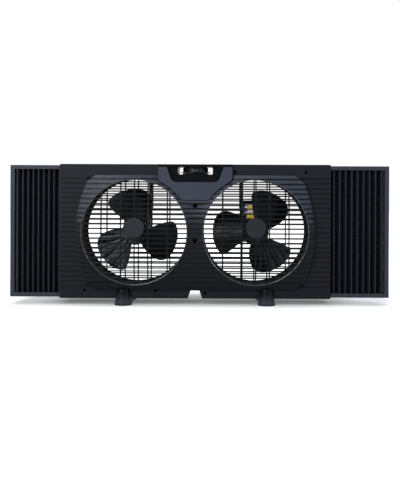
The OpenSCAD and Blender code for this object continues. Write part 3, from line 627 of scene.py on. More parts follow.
@dataclass(frozen=True)
class ZincPlatedSteel:
    """Pressed steel, zinc-plated and passivated: soft bright metal with blue and straw clouds."""

    name: str
    tone: str
    straw: str
    roughness: float = 0.34
    cloud_mm: float = 7.0
    wiped_mm: float = 1.4
    spangle_mm: float = 0.8

    def build(self) -> bpy.types.Material:
        """Builds the clouds of the passivation and the fine spangle.

        Returns:
            The material.
        """
        material, tree = new_material(self.name)
        place = add_node(tree, "TexCoord").outputs["Object"]
        cloud = add_node(tree, "TexNoise", inputs=blotches(place, self.cloud_mm, 4.0))
        wiped = add_node(tree, "TexNoise", inputs=blotches(place, self.wiped_mm, 3.0))
        spangle = add_node(tree, "TexNoise", inputs=blotches(place, self.spangle_mm, 2.0))
        ends = {"A": linear(self.tone), "B": linear(self.straw)}
        shine = greys((0.3, self.roughness - 0.06), (0.8, self.roughness + 0.12))
        relief = {"Height": spangle, "Distance": 0.01 * MM, "Strength": 0.4}
        finish_shader(
            tree,
            {
                "Base Color": add_node(tree, "Mix", COLOURS, {"Factor": cloud, **ends}),
                "Metallic": 1.0,
                "Roughness": add_node(tree, "ValToRGB", shine, {"Fac": wiped}),
                "Normal": add_node(tree, "Bump", inputs=relief),
            },
        )
        return material


@dataclass(frozen=True)
class LaminatedSteel:
    """Punched silicon-steel sheets in a stack: one fine dark line per sheet, varnished over."""

    name: str
    tone: str
    seam: str
    sheet_mm: float = 3.14  # real sheets are 0.5 mm; drawn six times as coarse so that they show
    rust_mm: float = 12.0
    rust_tone: str = "#5b4638"

    def build(self) -> bpy.types.Material:
        """Builds the sheets' edges along the stack's depth.

        Returns:
            The material.
        """
        material, tree = new_material(self.name)
        place = add_node(tree, "TexCoord").outputs["Object"]
        bands = add_node(
            tree,
            "TexWave",
            {"wave_type": "BANDS", "bands_direction": "Y", "wave_profile": "SIN"},
            {"Vector": place, "Scale": wave_scale(self.sheet_mm)},
        ).outputs["Fac"]
        blooms = add_node(tree, "TexNoise", inputs=blotches(place, self.rust_mm, 6.0))
        rust = add_node(tree, "ValToRGB", greys((0.55, 0.0), (0.75, 0.5)), {"Fac": blooms})
        ends = {"A": linear(self.seam), "B": linear(self.tone)}
        colour = add_node(tree, "Mix", COLOURS, {"Factor": bands, **ends})
        brown = linear(self.rust_tone)
        relief = {"Height": bands, "Distance": 0.05 * MM, "Strength": 0.5}
        finish_shader(
            tree,
            {
                "Base Color": add_node(tree, "Mix", COLOURS, {"Factor": rust, "A": colour, "B": brown}),
                "Metallic": 0.85,
                "Roughness": add_node(tree, "ValToRGB", greys((0.0, 0.6), (1.0, 0.38)), {"Fac": bands}),
                "Normal": add_node(tree, "Bump", inputs=relief),
            },
        )
        return material


@dataclass(frozen=True)
class TurnedMetal:
    """Metal turned or ground on a lathe: fine rings around its axis, which lies along the depth."""

    name: str
    tone: str
    dark: str
    roughness: float
    ring_mm: float = 0.5
    stain_mm: float = 6.0

    def build(self) -> bpy.types.Material:
        """Builds the tool's rings and the stains between them.

        Returns:
            The material.
        """
        material, tree = new_material(self.name)
        place = add_node(tree, "TexCoord").outputs["Object"]
        lathe = add_node(tree, "Mapping", inputs={"Vector": place, "Scale": (0.02, 1.0, 0.02)})
        rings = add_node(tree, "TexNoise", inputs=blotches(lathe, self.ring_mm, 2.0))
        stains = add_node(tree, "TexNoise", inputs=blotches(place, self.stain_mm, 4.0))
        ends = {"A": linear(self.tone), "B": linear(self.dark)}
        shine = greys((0.3, self.roughness - 0.06), (0.7, self.roughness + 0.1))
        relief = {"Height": rings, "Distance": 0.012 * MM, "Strength": 0.5}
        finish_shader(
            tree,
            {
                "Base Color": add_node(tree, "Mix", COLOURS, {"Factor": stains, **ends}),
                "Metallic": 1.0,
                "Roughness": add_node(tree, "ValToRGB", shine, {"Fac": rings}),
                "Normal": add_node(tree, "Bump", inputs=relief),
            },
        )
        return material


@dataclass(frozen=True)
class PolyesterTape:
    """Polyester film tape wound over a coil: glossy, see-through yellow over copper, with lap seams."""

    name: str
    tone: str
    deep: str
    lap_mm: float = 20.42
    crease_mm: float = 3.0
    glint_tone: str = "#f3dd7a"

    def build(self) -> bpy.types.Material:
        """Builds the laps across the coil and the copper's darker glow between them.

        Returns:
            The material.
        """
        material, tree = new_material(self.name)
        place = add_node(tree, "TexCoord").outputs["Object"]
        laps = add_node(
            tree,
            "TexWave",
            {"wave_type": "BANDS", "bands_direction": "X", "wave_profile": "SAW"},
            {"Vector": place, "Scale": wave_scale(self.lap_mm), "Distortion": 0.6, "Detail": 1.0},
        ).outputs["Fac"]
        pulled = add_node(tree, "Mapping", inputs={"Vector": place, "Scale": (1.0, 0.25, 0.25)})
        creases = add_node(tree, "TexNoise", inputs=blotches(pulled, self.crease_mm, 4.0))
        shade = add_node(tree, "ValToRGB", greys((0.0, 1.0), (0.12, 0.25), (1.0, 0.0)), {"Fac": laps})
        ends = {"A": linear(self.tone), "B": linear(self.deep)}
        colour = add_node(tree, "Mix", COLOURS, {"Factor": shade, **ends})
        glints = add_node(tree, "Math", {"operation": "MULTIPLY"}, {0: creases, 1: 0.3})
        pale = linear(self.glint_tone)
        crumple = {"Height": creases, "Distance": 0.15 * MM, "Strength": 0.5}
        crumpled = add_node(tree, "Bump", inputs=crumple)
        steps = {"Height": laps, "Distance": 0.12 * MM, "Strength": 0.6, "Normal": crumpled}
        finish_shader(
            tree,
            {
                "Base Color": add_node(tree, "Mix", COLOURS, {"Factor": glints, "A": colour, "B": pale}),
                "Roughness": 0.24,
                "IOR": 1.57,
                "Coat Weight": 0.4,
                "Coat Roughness": 0.12,
                "Normal": add_node(tree, "Bump", inputs=steps),
            },
        )
        return material


@dataclass(frozen=True)
class PlainPolymer:
    """A small moulded or drawn part, such as a nylon bobbin or a PVC jacket: smooth, a little mottled."""

    name: str
    tone: str
    lit: str
    roughness: float = 0.42
    cloud_mm: float = 5.0
    peel_mm: float = 1.1

    def build(self) -> bpy.types.Material:
        """Builds the mottling and a shallow orange-peel relief.

        Returns:
            The material.
        """
        material, tree = new_material(self.name)
        place = add_node(tree, "TexCoord").outputs["Object"]
        cloud = add_node(tree, "TexNoise", inputs=blotches(place, self.cloud_mm, 4.0))
        peel = add_node(tree, "TexNoise", inputs=blotches(place, self.peel_mm, 2.0))
        ends = {"A": linear(self.tone), "B": linear(self.lit)}
        shine = greys((0.3, self.roughness), (0.7, self.roughness + 0.1))
        relief = {"Height": peel, "Distance": 0.02 * MM, "Strength": 0.4}
        finish_shader(
            tree,
            {
                "Base Color": add_node(tree, "Mix", COLOURS, {"Factor": cloud, **ends}),
                "Roughness": add_node(tree, "ValToRGB", shine, {"Fac": cloud}),
                "IOR": 1.53,
                "Normal": add_node(tree, "Bump", inputs=relief),
            },
        )
        return material


class Finishes:
    """Every finish of the fan, built once and shared by the pieces that have it."""

    def __init__(self) -> None:
        """Builds the materials."""
        # Satin ABS in a blue-black: the body's shells take light as a soft, cool grey.
        # Its upward faces get painted top light; its grooves and duct walls get painted shade.
        self.shell = MouldedAbs(
            "abs_spark_grain_shell", "#0e1115", "#12151a", bore_mm=DUCT_REACH_MM, wear=0.2, dust=0.4,
            sheen_level=0.085, grooves=GrooveRows(width_mm=4.4, depth=0.8, first_mm=173.6, low=-12),
        ).build()
        # The cover is the same resin from a finer tool; painted top light pales the top of its bulge, and its
        # grooves and duct walls get painted shade.
        self.cover = MouldedAbs(
            "abs_fine_grain_cover", "#0a0c10", "#0e1115", roughness=0.4, grain_mm=0.4, wear=0.2,
            sheen_level=0.095, bore_mm=DUCT_REACH_MM, dust=0.9, dust_tone="#2e3239",
            grooves=GrooveRows(width_mm=3.6, depth=0.95),
        ).build()
        # The openings' rolled edges are polished, so they carry one thin bright line.
        self.lip = PolishedBead("abs_polished_bead", "#14161a", "#1b1e22").build()
        # The grilles' caps are coloured paler than the bars as a painted reflection of the flat disc, with
        # the same fine grain as the cover and a little painted top light.
        self.cap = MouldedAbs(
            "abs_fine_grain_cap", "#1a1d20", "#1f2225", roughness=0.44, grain_mm=0.4, dust=0.2
        ).build()
        # The pod is painted over ABS in graphite grey, which reads paler than the bare shells.
        self.pod = MouldedAbs(
            "abs_graphite_lacquer_pod", "#2b2e37", "#31343e", roughness=0.38, wear=0.2, sheen_level=0.12
        ).build()
        # Polished black ABS lines the handle recess, which stays dark between its highlights.
        self.tray = MouldedAbs(
            "abs_polished_tray", "#030405", "#060708", roughness=0.34, grain_depth_mm=0.004, wear=0.12,
            sheen_level=0.045,
        ).build()
        # Grilles come from a plain tool: darker and a little glossier than the shells.
        self.grille = MouldedAbs(
            "abs_plain_tool_grille", "#060708", "#090a0c", roughness=0.4, grain_depth_mm=0.006,
            wear=0.1, sheen_level=0.08,
        ).build()
        # The dial is nearly black and catches only a low sheen.
        self.dial = MouldedAbs(
            "abs_matt_grain_dial", "#030304", "#060607", roughness=0.3, wear=0.12, sheen_level=0.07
        ).build()
        # Feet: glass-filled ABS with a coarse grain, painted paler towards the floor as if lit and darker
        # towards the top as if shaded.
        self.foot = MouldedAbs(
            "abs_glass_filled_foot", "#020203", "#050506", roughness=0.36, grain_mm=0.8, wear=0.08,
            sheen_level=0.06, dust_tone="#34363b", painted_shading_mm=34.0,
        ).build()
        # Rails and stiles are extruded in a paler grey than the moulded shells, with a little painted top
        # light.
        self.rail = MouldedAbs(
            "abs_extruded_rail", "#292c32", "#2e3138", roughness=0.4, cloud_mm=70.0, wear=0.4, dust=0.3
        ).build()
        # The curtains' sheet is dark and shows as a row of paler creases, part rubbed and part painted crest
        # highlight.
        self.curtain = ExtrudedPvc("pvc_creased_sheet", "#0d1015", "#12151b").build()
        # Blades: waxy polypropylene, nearly black, with painted highlight streaks on one blade of each rotor.
        self.blades = {
            side: MouldedPolypropylene(
                f"polypropylene_rippled_{side.word}", "#06070a", "#090b0d", painted_streak_tone=tone,
                painted_streaks_at=angle, centre=(side.value * DUCT_X, BLADE_Y, DUCT_Z),
            ).build()
            for side, tone, angle in ((Side.LEFT, "#6c7078", 222.0), (Side.RIGHT, "#3c3f45", 305.0))
        }
        # Brackets, bolts and clips shine softly; the body's screws are blackened and nearly vanish.
        self.plated = ZincPlatedSteel("steel_zinc_plated", "#a9acb0", "#b3ac98").build()
        self.screw = ZincPlatedSteel(
            "steel_black_zinc_screw", "#111215", "#17171a", roughness=0.26
        ).build()
        # The stator reads as a stack, with a dark line between its sheets.
        self.laminations = LaminatedSteel("silicon_steel_stack", "#77787a", "#2e2d2c").build()
        # Turned parts: a bright ground shaft, a dull cast armature and brown sintered bushes.
        self.shaft = TurnedMetal("steel_ground_shaft", "#c3c5c8", "#a3a5a8", roughness=0.2).build()
        self.cast = TurnedMetal(
            "aluminium_cast_armature", "#9a9c9e", "#6f7173", roughness=0.4, ring_mm=1.2
        ).build()
        self.bronze = TurnedMetal("bronze_sintered_bush", "#a8804e", "#7d5c36", roughness=0.42).build()
        # The tape is the one bright colour: a glossy yellow behind the blades.
        self.tape = PolyesterTape("polyester_tape_yellow", "#f6d21c", "#c9980f").build()
        # Undyed nylon: a warm off-white on the bobbin and the switch.
        self.nylon = PlainPolymer("nylon_natural_bobbin", "#e6e1d2", "#d8d2c0").build()
        self.switch = PlainPolymer("nylon_ivory_switch", "#d9d3c2", "#cbc4b0", cloud_mm=9.0).build()
        # The leads' PVC jackets have a soft shine in three plain colours.
        self.jackets = {
            word: PlainPolymer(f"pvc_jacket_{word}", tone, lit, roughness=0.35).build()
            for word, tone, lit in (
                ("black", "#101012", "#17171a"),
                ("blue", "#2b3f86", "#34498f"),
                ("white", "#dcdcd8", "#cfcfca"),
            )
        }
        # Thin tails of the winding are sleeved in violet; the splices lie under a pale lilac sleeve.
        self.tails = PlainPolymer("pvc_sleeve_violet", "#5a4fa0", "#6a5fb0", roughness=0.35).build()
        self.sleeve = PlainPolymer("glass_cloth_sleeve", "#ece6ee", "#dcd2e4", roughness=0.6).build()
        # Nylon, grained by its tool like the ABS: dull and black, so only the outline shows.
        self.block = MouldedAbs(
            "nylon_black_terminal", "#050506", "#08090a", roughness=0.45, wear=0.1, sheen_level=0.05
        ).build()
        # The plugs are nylon too, duller and unworn, coloured near-black as painted shade in each well, so
        # each well reads as one black spot.
        self.plug = MouldedAbs(
            "nylon_plug_painted_shade", "#010102", "#020203", roughness=0.7, grain_depth_mm=0.004, wear=0.0,
            sheen_level=0.03,
        ).build()
        # Rubber around the cord's inlet swallows most highlights.
        self.bush = PlainPolymer("rubber_strain_bush", "#101011", "#18181a", roughness=0.6).build()
        # Pad-printed ink lies flat and pale on the dial.
        self.print = PlainPolymer("pad_print_pale_grey", "#54575c", "#4a4d52", roughness=0.5).build()

    def for_node(self, node: str) -> bpy.types.Material:
        """Picks the finish of a CAD node.

        Args:
            node: The node's name.

        Returns:
            Its material.
        """
        side = Side.LEFT if node.endswith("_left") else Side.RIGHT
        plain = {
            "front_frame": self.shell,
            "rear_housing": self.shell,
            "front_cover": self.cover,
            "control_pod": self.pod,
            "handle_tray": self.tray,
            "control_dial": self.dial,
            "rotary_switch": self.switch,
            "switch_spindle": self.shaft,
            "switch_nut": self.plated,
            "cord_bush": self.bush,
            "housing_screws": self.screw,
            "cover_screws": self.screw,
            "front_grille": self.grille,
            "rear_grille": self.grille,
            "fan_rotor": self.blades[side],
            "hub_clip": self.plated,
            "motor_shaft": self.shaft,
            "armature": self.cast,
            "stator": self.laminations,
            "coil": self.tape,
            "front_bracket": self.plated,
            "rear_bracket": self.plated,
            "bushes": self.bronze,
            "motor_bolts": self.plated,
            "wiring": self.jackets["black"],
            "foot": self.foot,
            "expander_frame": self.rail,
            "curtain": self.curtain,
        }
        return plain[node.removesuffix("_left").removesuffix("_right")]


# --- meshes: small helpers ------------------------------------------------------------------


def mesh_piece(name: str, verts: list, faces: list, material: bpy.types.Material) -> bpy.types.Object:
    """Makes a mesh object in the row frame and links it to the scene.

    Args:
        name: The piece's name.
        verts: Its points, in metres.
        faces: Its faces, as lists of point numbers.
        material: Its finish.

    Returns:
        The new object.
    """
    mesh = bpy.data.meshes.new(name)
    mesh.from_pydata([tuple(v) for v in verts], [], faces)
    tidy = bmesh.new()
    tidy.from_mesh(mesh)
    bmesh.ops.recalc_face_normals(tidy, faces=tidy.faces)
    tidy.to_mesh(mesh)
    tidy.free()
    mesh.materials.append(material)
    piece = bpy.data.objects.new(name, mesh)
    bpy.context.scene.collection.objects.link(piece)
    return piece


def smooth_by_angle(piece: bpy.types.Object, degrees: float) -> None:
    """Shades a piece smooth and keeps its edges above an angle sharp.

    Args:
        piece: The mesh object.
        degrees: The angle above which an edge stays sharp.
    """
    mesh = piece.data
    mesh.polygons.foreach_set("use_smooth", [True] * len(mesh.polygons))
    sharp = math.radians(degrees)
    check = bmesh.new()
    check.from_mesh(mesh)
    for edge in check.edges:
        faces = edge.link_faces
        edge.smooth = len(faces) == 2 and faces[0].normal.angle(faces[1].normal, 0.0) < sharp
    check.to_mesh(mesh)
    check.free()


def round_edges(piece: bpy.types.Object, width_mm: float, degrees: float) -> None:
    """Rounds a piece's edges above an angle with a bevel.

    Args:
        piece: The mesh object.
        width_mm: The rounding.
        degrees: The angle above which an edge is rounded.
    """
    bevel = piece.modifiers.new("moulded_edge", "BEVEL")
    bevel.width = width_mm * MM
    bevel.segments = 2
    bevel.limit_method = "ANGLE"
    bevel.angle_limit = math.radians(degrees)


def rounded_box(
    low: Vector, high: Vector, radius: float, steps: int
) -> tuple[list[Vector], list[list[int]]]:
    """Points and faces of a box with rounded edges along X.

    Args:
        low: Its lowest corner.
        high: Its highest corner.
        radius: The rounding in the plane across X.
        steps: How many faces each corner has.

    Returns:
        The points and the faces.
    """
    outline = []
    corners = [
        (high.y - radius, high.z - radius, 0),
        (low.y + radius, high.z - radius, 90),
        (low.y + radius, low.z + radius, 180),
        (high.y - radius, low.z + radius, 270),
    ]
    for y, z, start in corners:
        for k in range(steps + 1):
            turn = math.radians(start + 90 * k / steps)
            outline.append((y + radius * math.cos(turn), z + radius * math.sin(turn)))
    count = len(outline)
    verts = [Vector((x, y, z)) for x in (low.x, high.x) for y, z in outline]
    faces = [[k, (k + 1) % count, count + (k + 1) % count, count + k] for k in range(count)]
    faces += [list(range(count)), list(range(2 * count - 1, count - 1, -1))]
    return verts, faces


def loft_faces(rings: int, count: int, looped: bool) -> list[list[int]]:
    """Faces between rings of points that follow each other.

    Args:
        rings: How many rings there are.
        count: How many points each ring has.
        looped: Whether the last ring joins the first one; otherwise the two ends are closed.

    Returns:
        The faces, as lists of point numbers.
    """
    faces = []
    for ring in range(rings if looped else rings - 1):
        here, after = ring * count, (ring + 1) % rings * count
        for k in range(count):
            other = (k + 1) % count
            faces.append([here + k, here + other, after + other, after + k])
    if not looped:
        last = (rings - 1) * count
        faces += [list(range(count)), list(range(last, last + count))]
    return faces


def crosswise(path: list[Vector]) -> list[tuple[Vector, Vector]]:
    """Finds two directions across a path at each point, which twist as little as the path allows.

    Args:
        path: The path's points.

    Returns:
        A pair of directions for each point.
    """
    pairs = []
    side_way = ASLANT
    for i in range(len(path)):
        along = (path[min(i + 1, len(path) - 1)] - path[max(i - 1, 0)]).normalized()
        side_way = (side_way - along * side_way.dot(along)).normalized()
        pairs.append((side_way, along.cross(side_way)))
    return pairs


def swept_tube(path: list[Vector], radius: float, sides: int) -> tuple[list[Vector], list[list[int]]]:
    """Points and faces of a round tube along a path.

    Args:
        path: The path's points.
        radius: The tube's radius.
        sides: How many faces go around it.

    Returns:
        The points and the faces.
    """
    verts: list[Vector] = []
    for point, (side_way, other) in zip(path, crosswise(path)):
        for k in range(sides):
            turn = math.tau * k / sides
            verts.append(point + (side_way * math.cos(turn) + other * math.sin(turn)) * radius)
    faces = []
    for i in range(len(path) - 1):
        for k in range(sides):
            a, b = i * sides + k, i * sides + (k + 1) % sides
            faces.append([a, b, b + sides, a + sides])
    faces += [list(range(sides - 1, -1, -1)), list(range(len(verts) - sides, len(verts)))]
    return verts, faces


def turned(
    profile: list[tuple[float, float]], centre: Vector, steps: int
) -> tuple[list[Vector], list[list[int]]]:
    """Points and faces of a round cap, turned about an axis along the depth.

    Args:
        profile: Pairs of radius and depth from the middle outwards; the first radius is 0.
        centre: The point that the depths count from.
        steps: How many faces go around.

    Returns:
        The points and the faces.
    """
    verts = [centre + Vector((0.0, profile[0][1], 0.0))]
    for radius, depth in profile[1:]:
        for k in range(steps):
            turn = math.tau * k / steps
            verts.append(centre + Vector((radius * math.cos(turn), depth, radius * math.sin(turn))))
    faces = [[0, 1 + k, 1 + (k + 1) % steps] for k in range(steps)]
    for ring in range(len(profile) - 2):
        a = 1 + ring * steps
        for k in range(steps):
            other = (k + 1) % steps
            faces.append([a + k, a + other, a + steps + other, a + steps + k])
    last = 1 + (len(profile) - 2) * steps
    faces.append([last + k for k in range(steps)])
    return verts, faces


def curved(points: list[Vector], steps: int) -> list[Vector]:
    """A smooth curve through points.

    Args:
        points: The points to pass through.
        steps: How many pieces each stretch has.

    Returns:
        The curve's points.
    """
    result = []
    for i in range(len(points) - 1):
        a, b = points[max(i - 1, 0)], points[i]
        c, d = points[i + 1], points[min(i + 2, len(points) - 1)]
        for k in range(steps):
            t = k / steps
            result.append(
                0.5
                * (2 * b + (c - a) * t + (2 * a - 5 * b + 4 * c - d) * t**2 + (3 * b - a - 3 * c + d) * t**3)
            )
    result.append(points[-1].copy())
    return result


# --- sub-assemblies --------------------------------------------------------------------------


@dataclass
class Shells:
    """The CAD solids that keep their shape: they get their finish, rounded edges and clean shading."""

    edge_mm: float = 0.5
    fine_edge_mm: float = 0.3
    weld_mm: float = 0.002
    rounded_from: float = 40.0  # degrees between two faces
    sharp_from: float = 38.0  # likewise
    crisp: tuple[str, ...] = ("motor_shaft", "hub_clip", "switch_spindle", "bushes", "wiring")
    fine: tuple[str, ...] = (
        "front_grille", "rear_grille", "housing_screws", "cover_screws", "switch_nut"
    )

    def dress(self, nodes: dict, finishes: Finishes) -> None:
        """Gives every node its material and modifiers.

        Args:
            nodes: The CAD nodes by name.
            finishes: The fan's finishes.
        """
        for name, piece in nodes.items():
            piece.data.materials.clear()
            piece.data.materials.append(finishes.for_node(name))
            base = name.removesuffix("_left").removesuffix("_right")
            self.soften(piece, 0.0 if base in self.crisp else self.width_for(base))
            log.info("dressed %s in %s", name, piece.data.materials[0].name)

    def width_for(self, base: str) -> float:
        """The edge rounding of a node, in millimetres."""
        return self.fine_edge_mm if base in self.fine else self.edge_mm

    def soften(self, piece: bpy.types.Object, width_mm: float) -> None:
        """Joins the solid's faces, rounds its sharp edges and shades it.

        Args:
            piece: The CAD node's object.
            width_mm: The rounding, or 0 for none.
        """
        weld = piece.modifiers.new("join_faces", "WELD")
        weld.merge_threshold = self.weld_mm * MM
        if width_mm:
            round_edges(piece, width_mm, self.rounded_from)
        split = piece.modifiers.new("sharp_shading", "EDGE_SPLIT")
        split.split_angle = math.radians(self.sharp_from)


@dataclass
class PleatedCurtain:
    """A creased sheet between the body and a stile, as one piece per pleat."""

    side: Side
    pleats: int = 12
    sheet: float = 0.9 * MM
    fold: float = 0.7 * MM
    crest: float = 0.25 * MM
    rows: int = 12
    arc: int = 4
    sway: float = 0.18 * MM
    sway_up: float = 30.0  # how fast a crease sways with height, in radians per metre
    sway_across: float = 40.0  # how far the sway shifts from crease to crease, in radians per metre

    def midline(
        self, x0: float, x1: float, back: float, front: float
    ) -> list[tuple[float, float, float, float]]:
        """One pleat's middle line, from one back fold to the next.

        Args:
            x0: Where the pleat starts.
            x1: Where it ends.
            back: The depth of its back folds.
            front: The depth of its front fold.

        Returns:
            Points as x, y and the sheet's normal there.
        """
        half = (x1 - x0) / 2
        steep = math.atan2(abs(front - back), half)
        line = []
        for k in range(self.arc + 1):
            turn = steep * k / self.arc
            line.append((x0 + self.fold * math.sin(turn), back - self.fold * (1 - math.cos(turn)), turn))
        for k in range(self.arc, -1, -1):
            turn = steep * k / self.arc
            x = x0 + half - self.crest - self.fold * math.sin(turn)
            line.append((x, front + self.fold * (1 - math.cos(turn)), turn))
        mirrored = [(x0 + x1 - x, y, -turn) for x, y, turn in reversed(line)]
        return [(x, y, -math.sin(turn), -math.cos(turn)) for x, y, turn in line + mirrored]

    def build(self, finishes: Finishes) -> None:
        """Builds the pleats where the CAD curtain is.

        Args:
            finishes: The fan's finishes.
        """
        node = f"curtain_{self.side.word}"
        low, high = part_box(node)
        near, far = (high.x, low.x) if self.side is Side.LEFT else (low.x, high.x)
        for number in range(self.pleats):
            x0 = near + (far - near) * number / self.pleats
            x1 = near + (far - near) * (number + 1) / self.pleats
            verts, faces = self.pleat(x0, x1, low, high)
            piece = mesh_piece(f"{node}_pleat_{number + 1:02d}", verts, faces, finishes.curtain)
            smooth_by_angle(piece, 50)
            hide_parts(node)
            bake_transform(piece)
        log.info("built %s with %d pleats", node, self.pleats)

    def pleat(self, x0: float, x1: float, low: Vector, high: Vector) -> tuple[list, list]:
        """Points and faces of one pleat, closed at its top and bottom.

        Args:
            x0: Where it starts.
            x1: Where it ends.
            low: The curtain's lowest corner.
            high: The curtain's highest corner.

        Returns:
            The points and the faces.
        """
        flip = 1 if x1 > x0 else -1
        line = self.midline(0.0, abs(x1 - x0), high.y - self.sheet / 2, low.y + self.sheet / 2)
        half = self.sheet / 2
        ring = [(x + half * nx, y + half * ny) for x, y, nx, ny in line]
        ring += [(x - half * nx, y - half * ny) for x, y, nx, ny in reversed(line)]
        verts = []
        for row in range(self.rows + 1):
            z = low.z + (high.z - low.z) * row / self.rows
            for x, y in ring:
                wander = math.sin(self.sway_up * z + self.sway_across * x0)
                lean = self.sway * wander * math.sin(math.pi * row / self.rows)
                inner = math.sin(math.pi * max(0.0, min(1.0, x / abs(x1 - x0))))
                verts.append(Vector((x0 + flip * (x + lean * inner), y, z)))
        return verts, loft_faces(self.rows + 1, len(ring), looped=False)

    @staticmethod
    def ease(share: float) -> float:
        """The place at which a smooth step from 0 to 1 reaches a share."""
        return 0.5 - math.sin(math.asin(1 - 2 * share) / 3)


@dataclass
class MotorCoil:
    """The motor's winding: a nylon bobbin on the top bar of the stack, wound and taped in yellow."""

    side: Side
    flange: float = 1.3 * MM
    inset: float = 1.6 * MM
    corner: float = 3.0 * MM
    wound_corner: float = 5.0 * MM
    tape_waist: float = 0.8 * MM
    tape_ripple: float = 0.12 * MM
    ripple_turns: float = 40.0  # radians of ripple from one flange to the other
    steps: int = 10
    edge_mm: float = 0.3

    def build(self, finishes: Finishes) -> None:
        """Builds the bobbin's flanges and the taped winding.

        Args:
            finishes: The fan's finishes.
        """
        node = f"coil_{self.side.word}"
        low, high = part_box(node)
        for end, (x0, x1) in {
            "a": (low.x, low.x + self.flange),
            "b": (high.x - self.flange, high.x),
        }.items():
            start, stop = Vector((x0, low.y, low.z)), Vector((x1, high.y, high.z))
            verts, faces = rounded_box(start, stop, self.corner, 4)
            piece = mesh_piece(f"{node}_flange_{end}", verts, faces, finishes.nylon)
            round_edges(piece, self.edge_mm, 50)
            self.seat(piece, node)
        body_low = Vector((low.x + self.flange, low.y + self.inset, low.z + self.inset))
        body_high = Vector((high.x - self.flange, high.y - self.inset, high.z - self.inset))
        verts, faces = self.winding(body_low, body_high)
        piece = mesh_piece(f"{node}_winding", verts, faces, finishes.tape)
        smooth_by_angle(piece, 50)
        self.seat(piece, node)
        log.info("built %s", node)

    def winding(self, low: Vector, high: Vector) -> tuple[list, list]:
        """A rounded box along X that bellies a little between the flanges.

        Args:
            low: Its lowest corner.
            high: Its highest corner.

        Returns:
            The points and the faces.
        """
        verts: list[Vector] = []
        for i in range(self.steps + 1):
            share = i / self.steps
            ripple = self.tape_ripple * math.sin(share * self.ripple_turns)
            waist = self.tape_waist * (2 * share - 1) ** 2 + ripple
            inner_low = Vector((0, low.y + waist, low.z + waist))
            inner_high = Vector((0, high.y - waist, high.z - waist))
            ring, _ = rounded_box(inner_low, inner_high, self.wound_corner, 5)
            ring = ring[: len(ring) // 2]
            x = low.x + (high.x - low.x) * share
            verts += [Vector((x, p.y, p.z)) for p in ring]
        return verts, loft_faces(self.steps + 1, len(ring), looped=False)

    def seat(self, piece: bpy.types.Object, node: str) -> None:
        """Stands a piece in for the CAD coil and lets it ride on the housing.

        Args:
            piece: The piece.
            node: The CAD coil's name.
        """
        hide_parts(node)
        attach(piece, "housing")


@dataclass
class MotorLeads:
    """Three twisted leads from the switch, over the duct and down the rear strut to the coil."""

    side: Side
    radius: float = 0.85 * MM
    lay: float = 1.05 * MM
    twist: float = 34.0 * MM

    def route(self) -> list[Vector]:
        """Gives the leads' common path.

        Returns:
            Its points, in the row frame.
        """
        points = [
            (12, -17.05, 276.2), (12, -17.05, 268.7), (14, -10.05, 262.7), (22, 2, 260.7),
            (36, 16, 264.7), (56, 27, 272.7), (80.5, 31, 281.5), (93.5, 31, 287.5),
            (101.5, 31, 285.5), (105.5, 31, 277.5),
            (105.5, 31, 250.2), (105.5, 31, 217.5), (107, 30, 210.5), (111.5, 29.5, 206.5),
            (117.2, 29.5, 205.5),
        ]
        return [Vector((self.side.value * x * MM, y * MM, z * MM)) for x, y, z in points]

    def build(self, finishes: Finishes) -> None:
        """Builds the three leads and lets them ride on the housing.

        Args:
            finishes: The fan's finishes.
        """
        node = f"wiring_{self.side.word}"
        path = curved(self.route(), 10)
        for number, (colour, jacket) in enumerate(finishes.jackets.items()):
            verts, faces = swept_tube(self.strand(path, number), self.radius, 8)
            piece = mesh_piece(f"{node}_{colour}", verts, faces, jacket)
            smooth_by_angle(piece, 60)
            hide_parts(node)
            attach(piece, "housing")
        log.info("built %s", node)

    def strand(self, path: list[Vector], number: int) -> list[Vector]:
        """One lead's path, wound around the common one.

        Args:
            path: The common path.
            number: The lead's number.

        Returns:
            Its points.
        """
        strand, run = [], 0.0
        for i, (point, (side_way, other)) in enumerate(zip(path, crosswise(path))):
            if i:
                run += (point - path[i - 1]).length
            turn = math.tau * (number / 3 + run / self.twist)
            strand.append(point + (side_way * math.cos(turn) + other * math.sin(turn)) * self.lay)
        return strand


@dataclass
class OpeningLip:
    """The rolled inner edge of each round opening, polished only where it turns into the bore."""

    side: Side
    radius: float = 117.5 * MM
    roll: float = 1.25 * MM
    reach: float = 1.0 * MM
    land: float = 2.4 * MM
    set_back: float = 0.1 * MM
    hidden: float = 0.2 * MM
    inward: float = 0.9 * MM
    steps: int = 180
    arc: int = 7
    front: float = -58.8 * MM
    bulge: float = 914.6 * MM

    def section(self) -> list[tuple[float, float]]:
        """Works out the edge's closed outline.

        Returns:
            Pairs of radius and depth behind the collar's front.
        """
        middle = self.radius + self.reach
        outline = [(self.radius + self.land, self.set_back)]
        for k in range(self.arc + 1):
            turn = math.pi / 2 * k / self.arc
            outline.append((middle - self.roll * math.sin(turn), self.reach - self.roll * math.cos(turn)))
        outline.append((self.radius + self.hidden, self.reach + self.inward))
        outline.append((middle, self.reach + self.hidden))
        return outline

    def build(self, finishes: Finishes) -> None:
        """Builds the edge along the opening and lets it ride on the housing.

        Args:
            finishes: The fan's finishes.
        """
        outline = self.section()
        count = len(outline)
        verts = []
        for k in range(self.steps):
            turn = math.tau * k / self.steps
            rise = self.radius * math.sin(turn)
            depth = self.front + self.bulge - math.sqrt(self.bulge**2 - rise**2)
            for out, back in outline:
                x = self.side.value * DUCT_X + out * math.cos(turn)
                verts.append(Vector((x, depth + back, DUCT_Z + out * math.sin(turn))))
        faces = loft_faces(self.steps, count, looped=True)
        piece = mesh_piece(f"opening_lip_{self.side.word}", verts, faces, finishes.cover)
        piece.data.materials.append(finishes.lip)
        for number, face in enumerate(piece.data.polygons):
            if 1 <= number % count <= self.arc:
                face.material_index = 1
        smooth_by_angle(piece, 60)
        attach(piece, "housing")
        log.info("built opening_lip_%s", self.side.word)


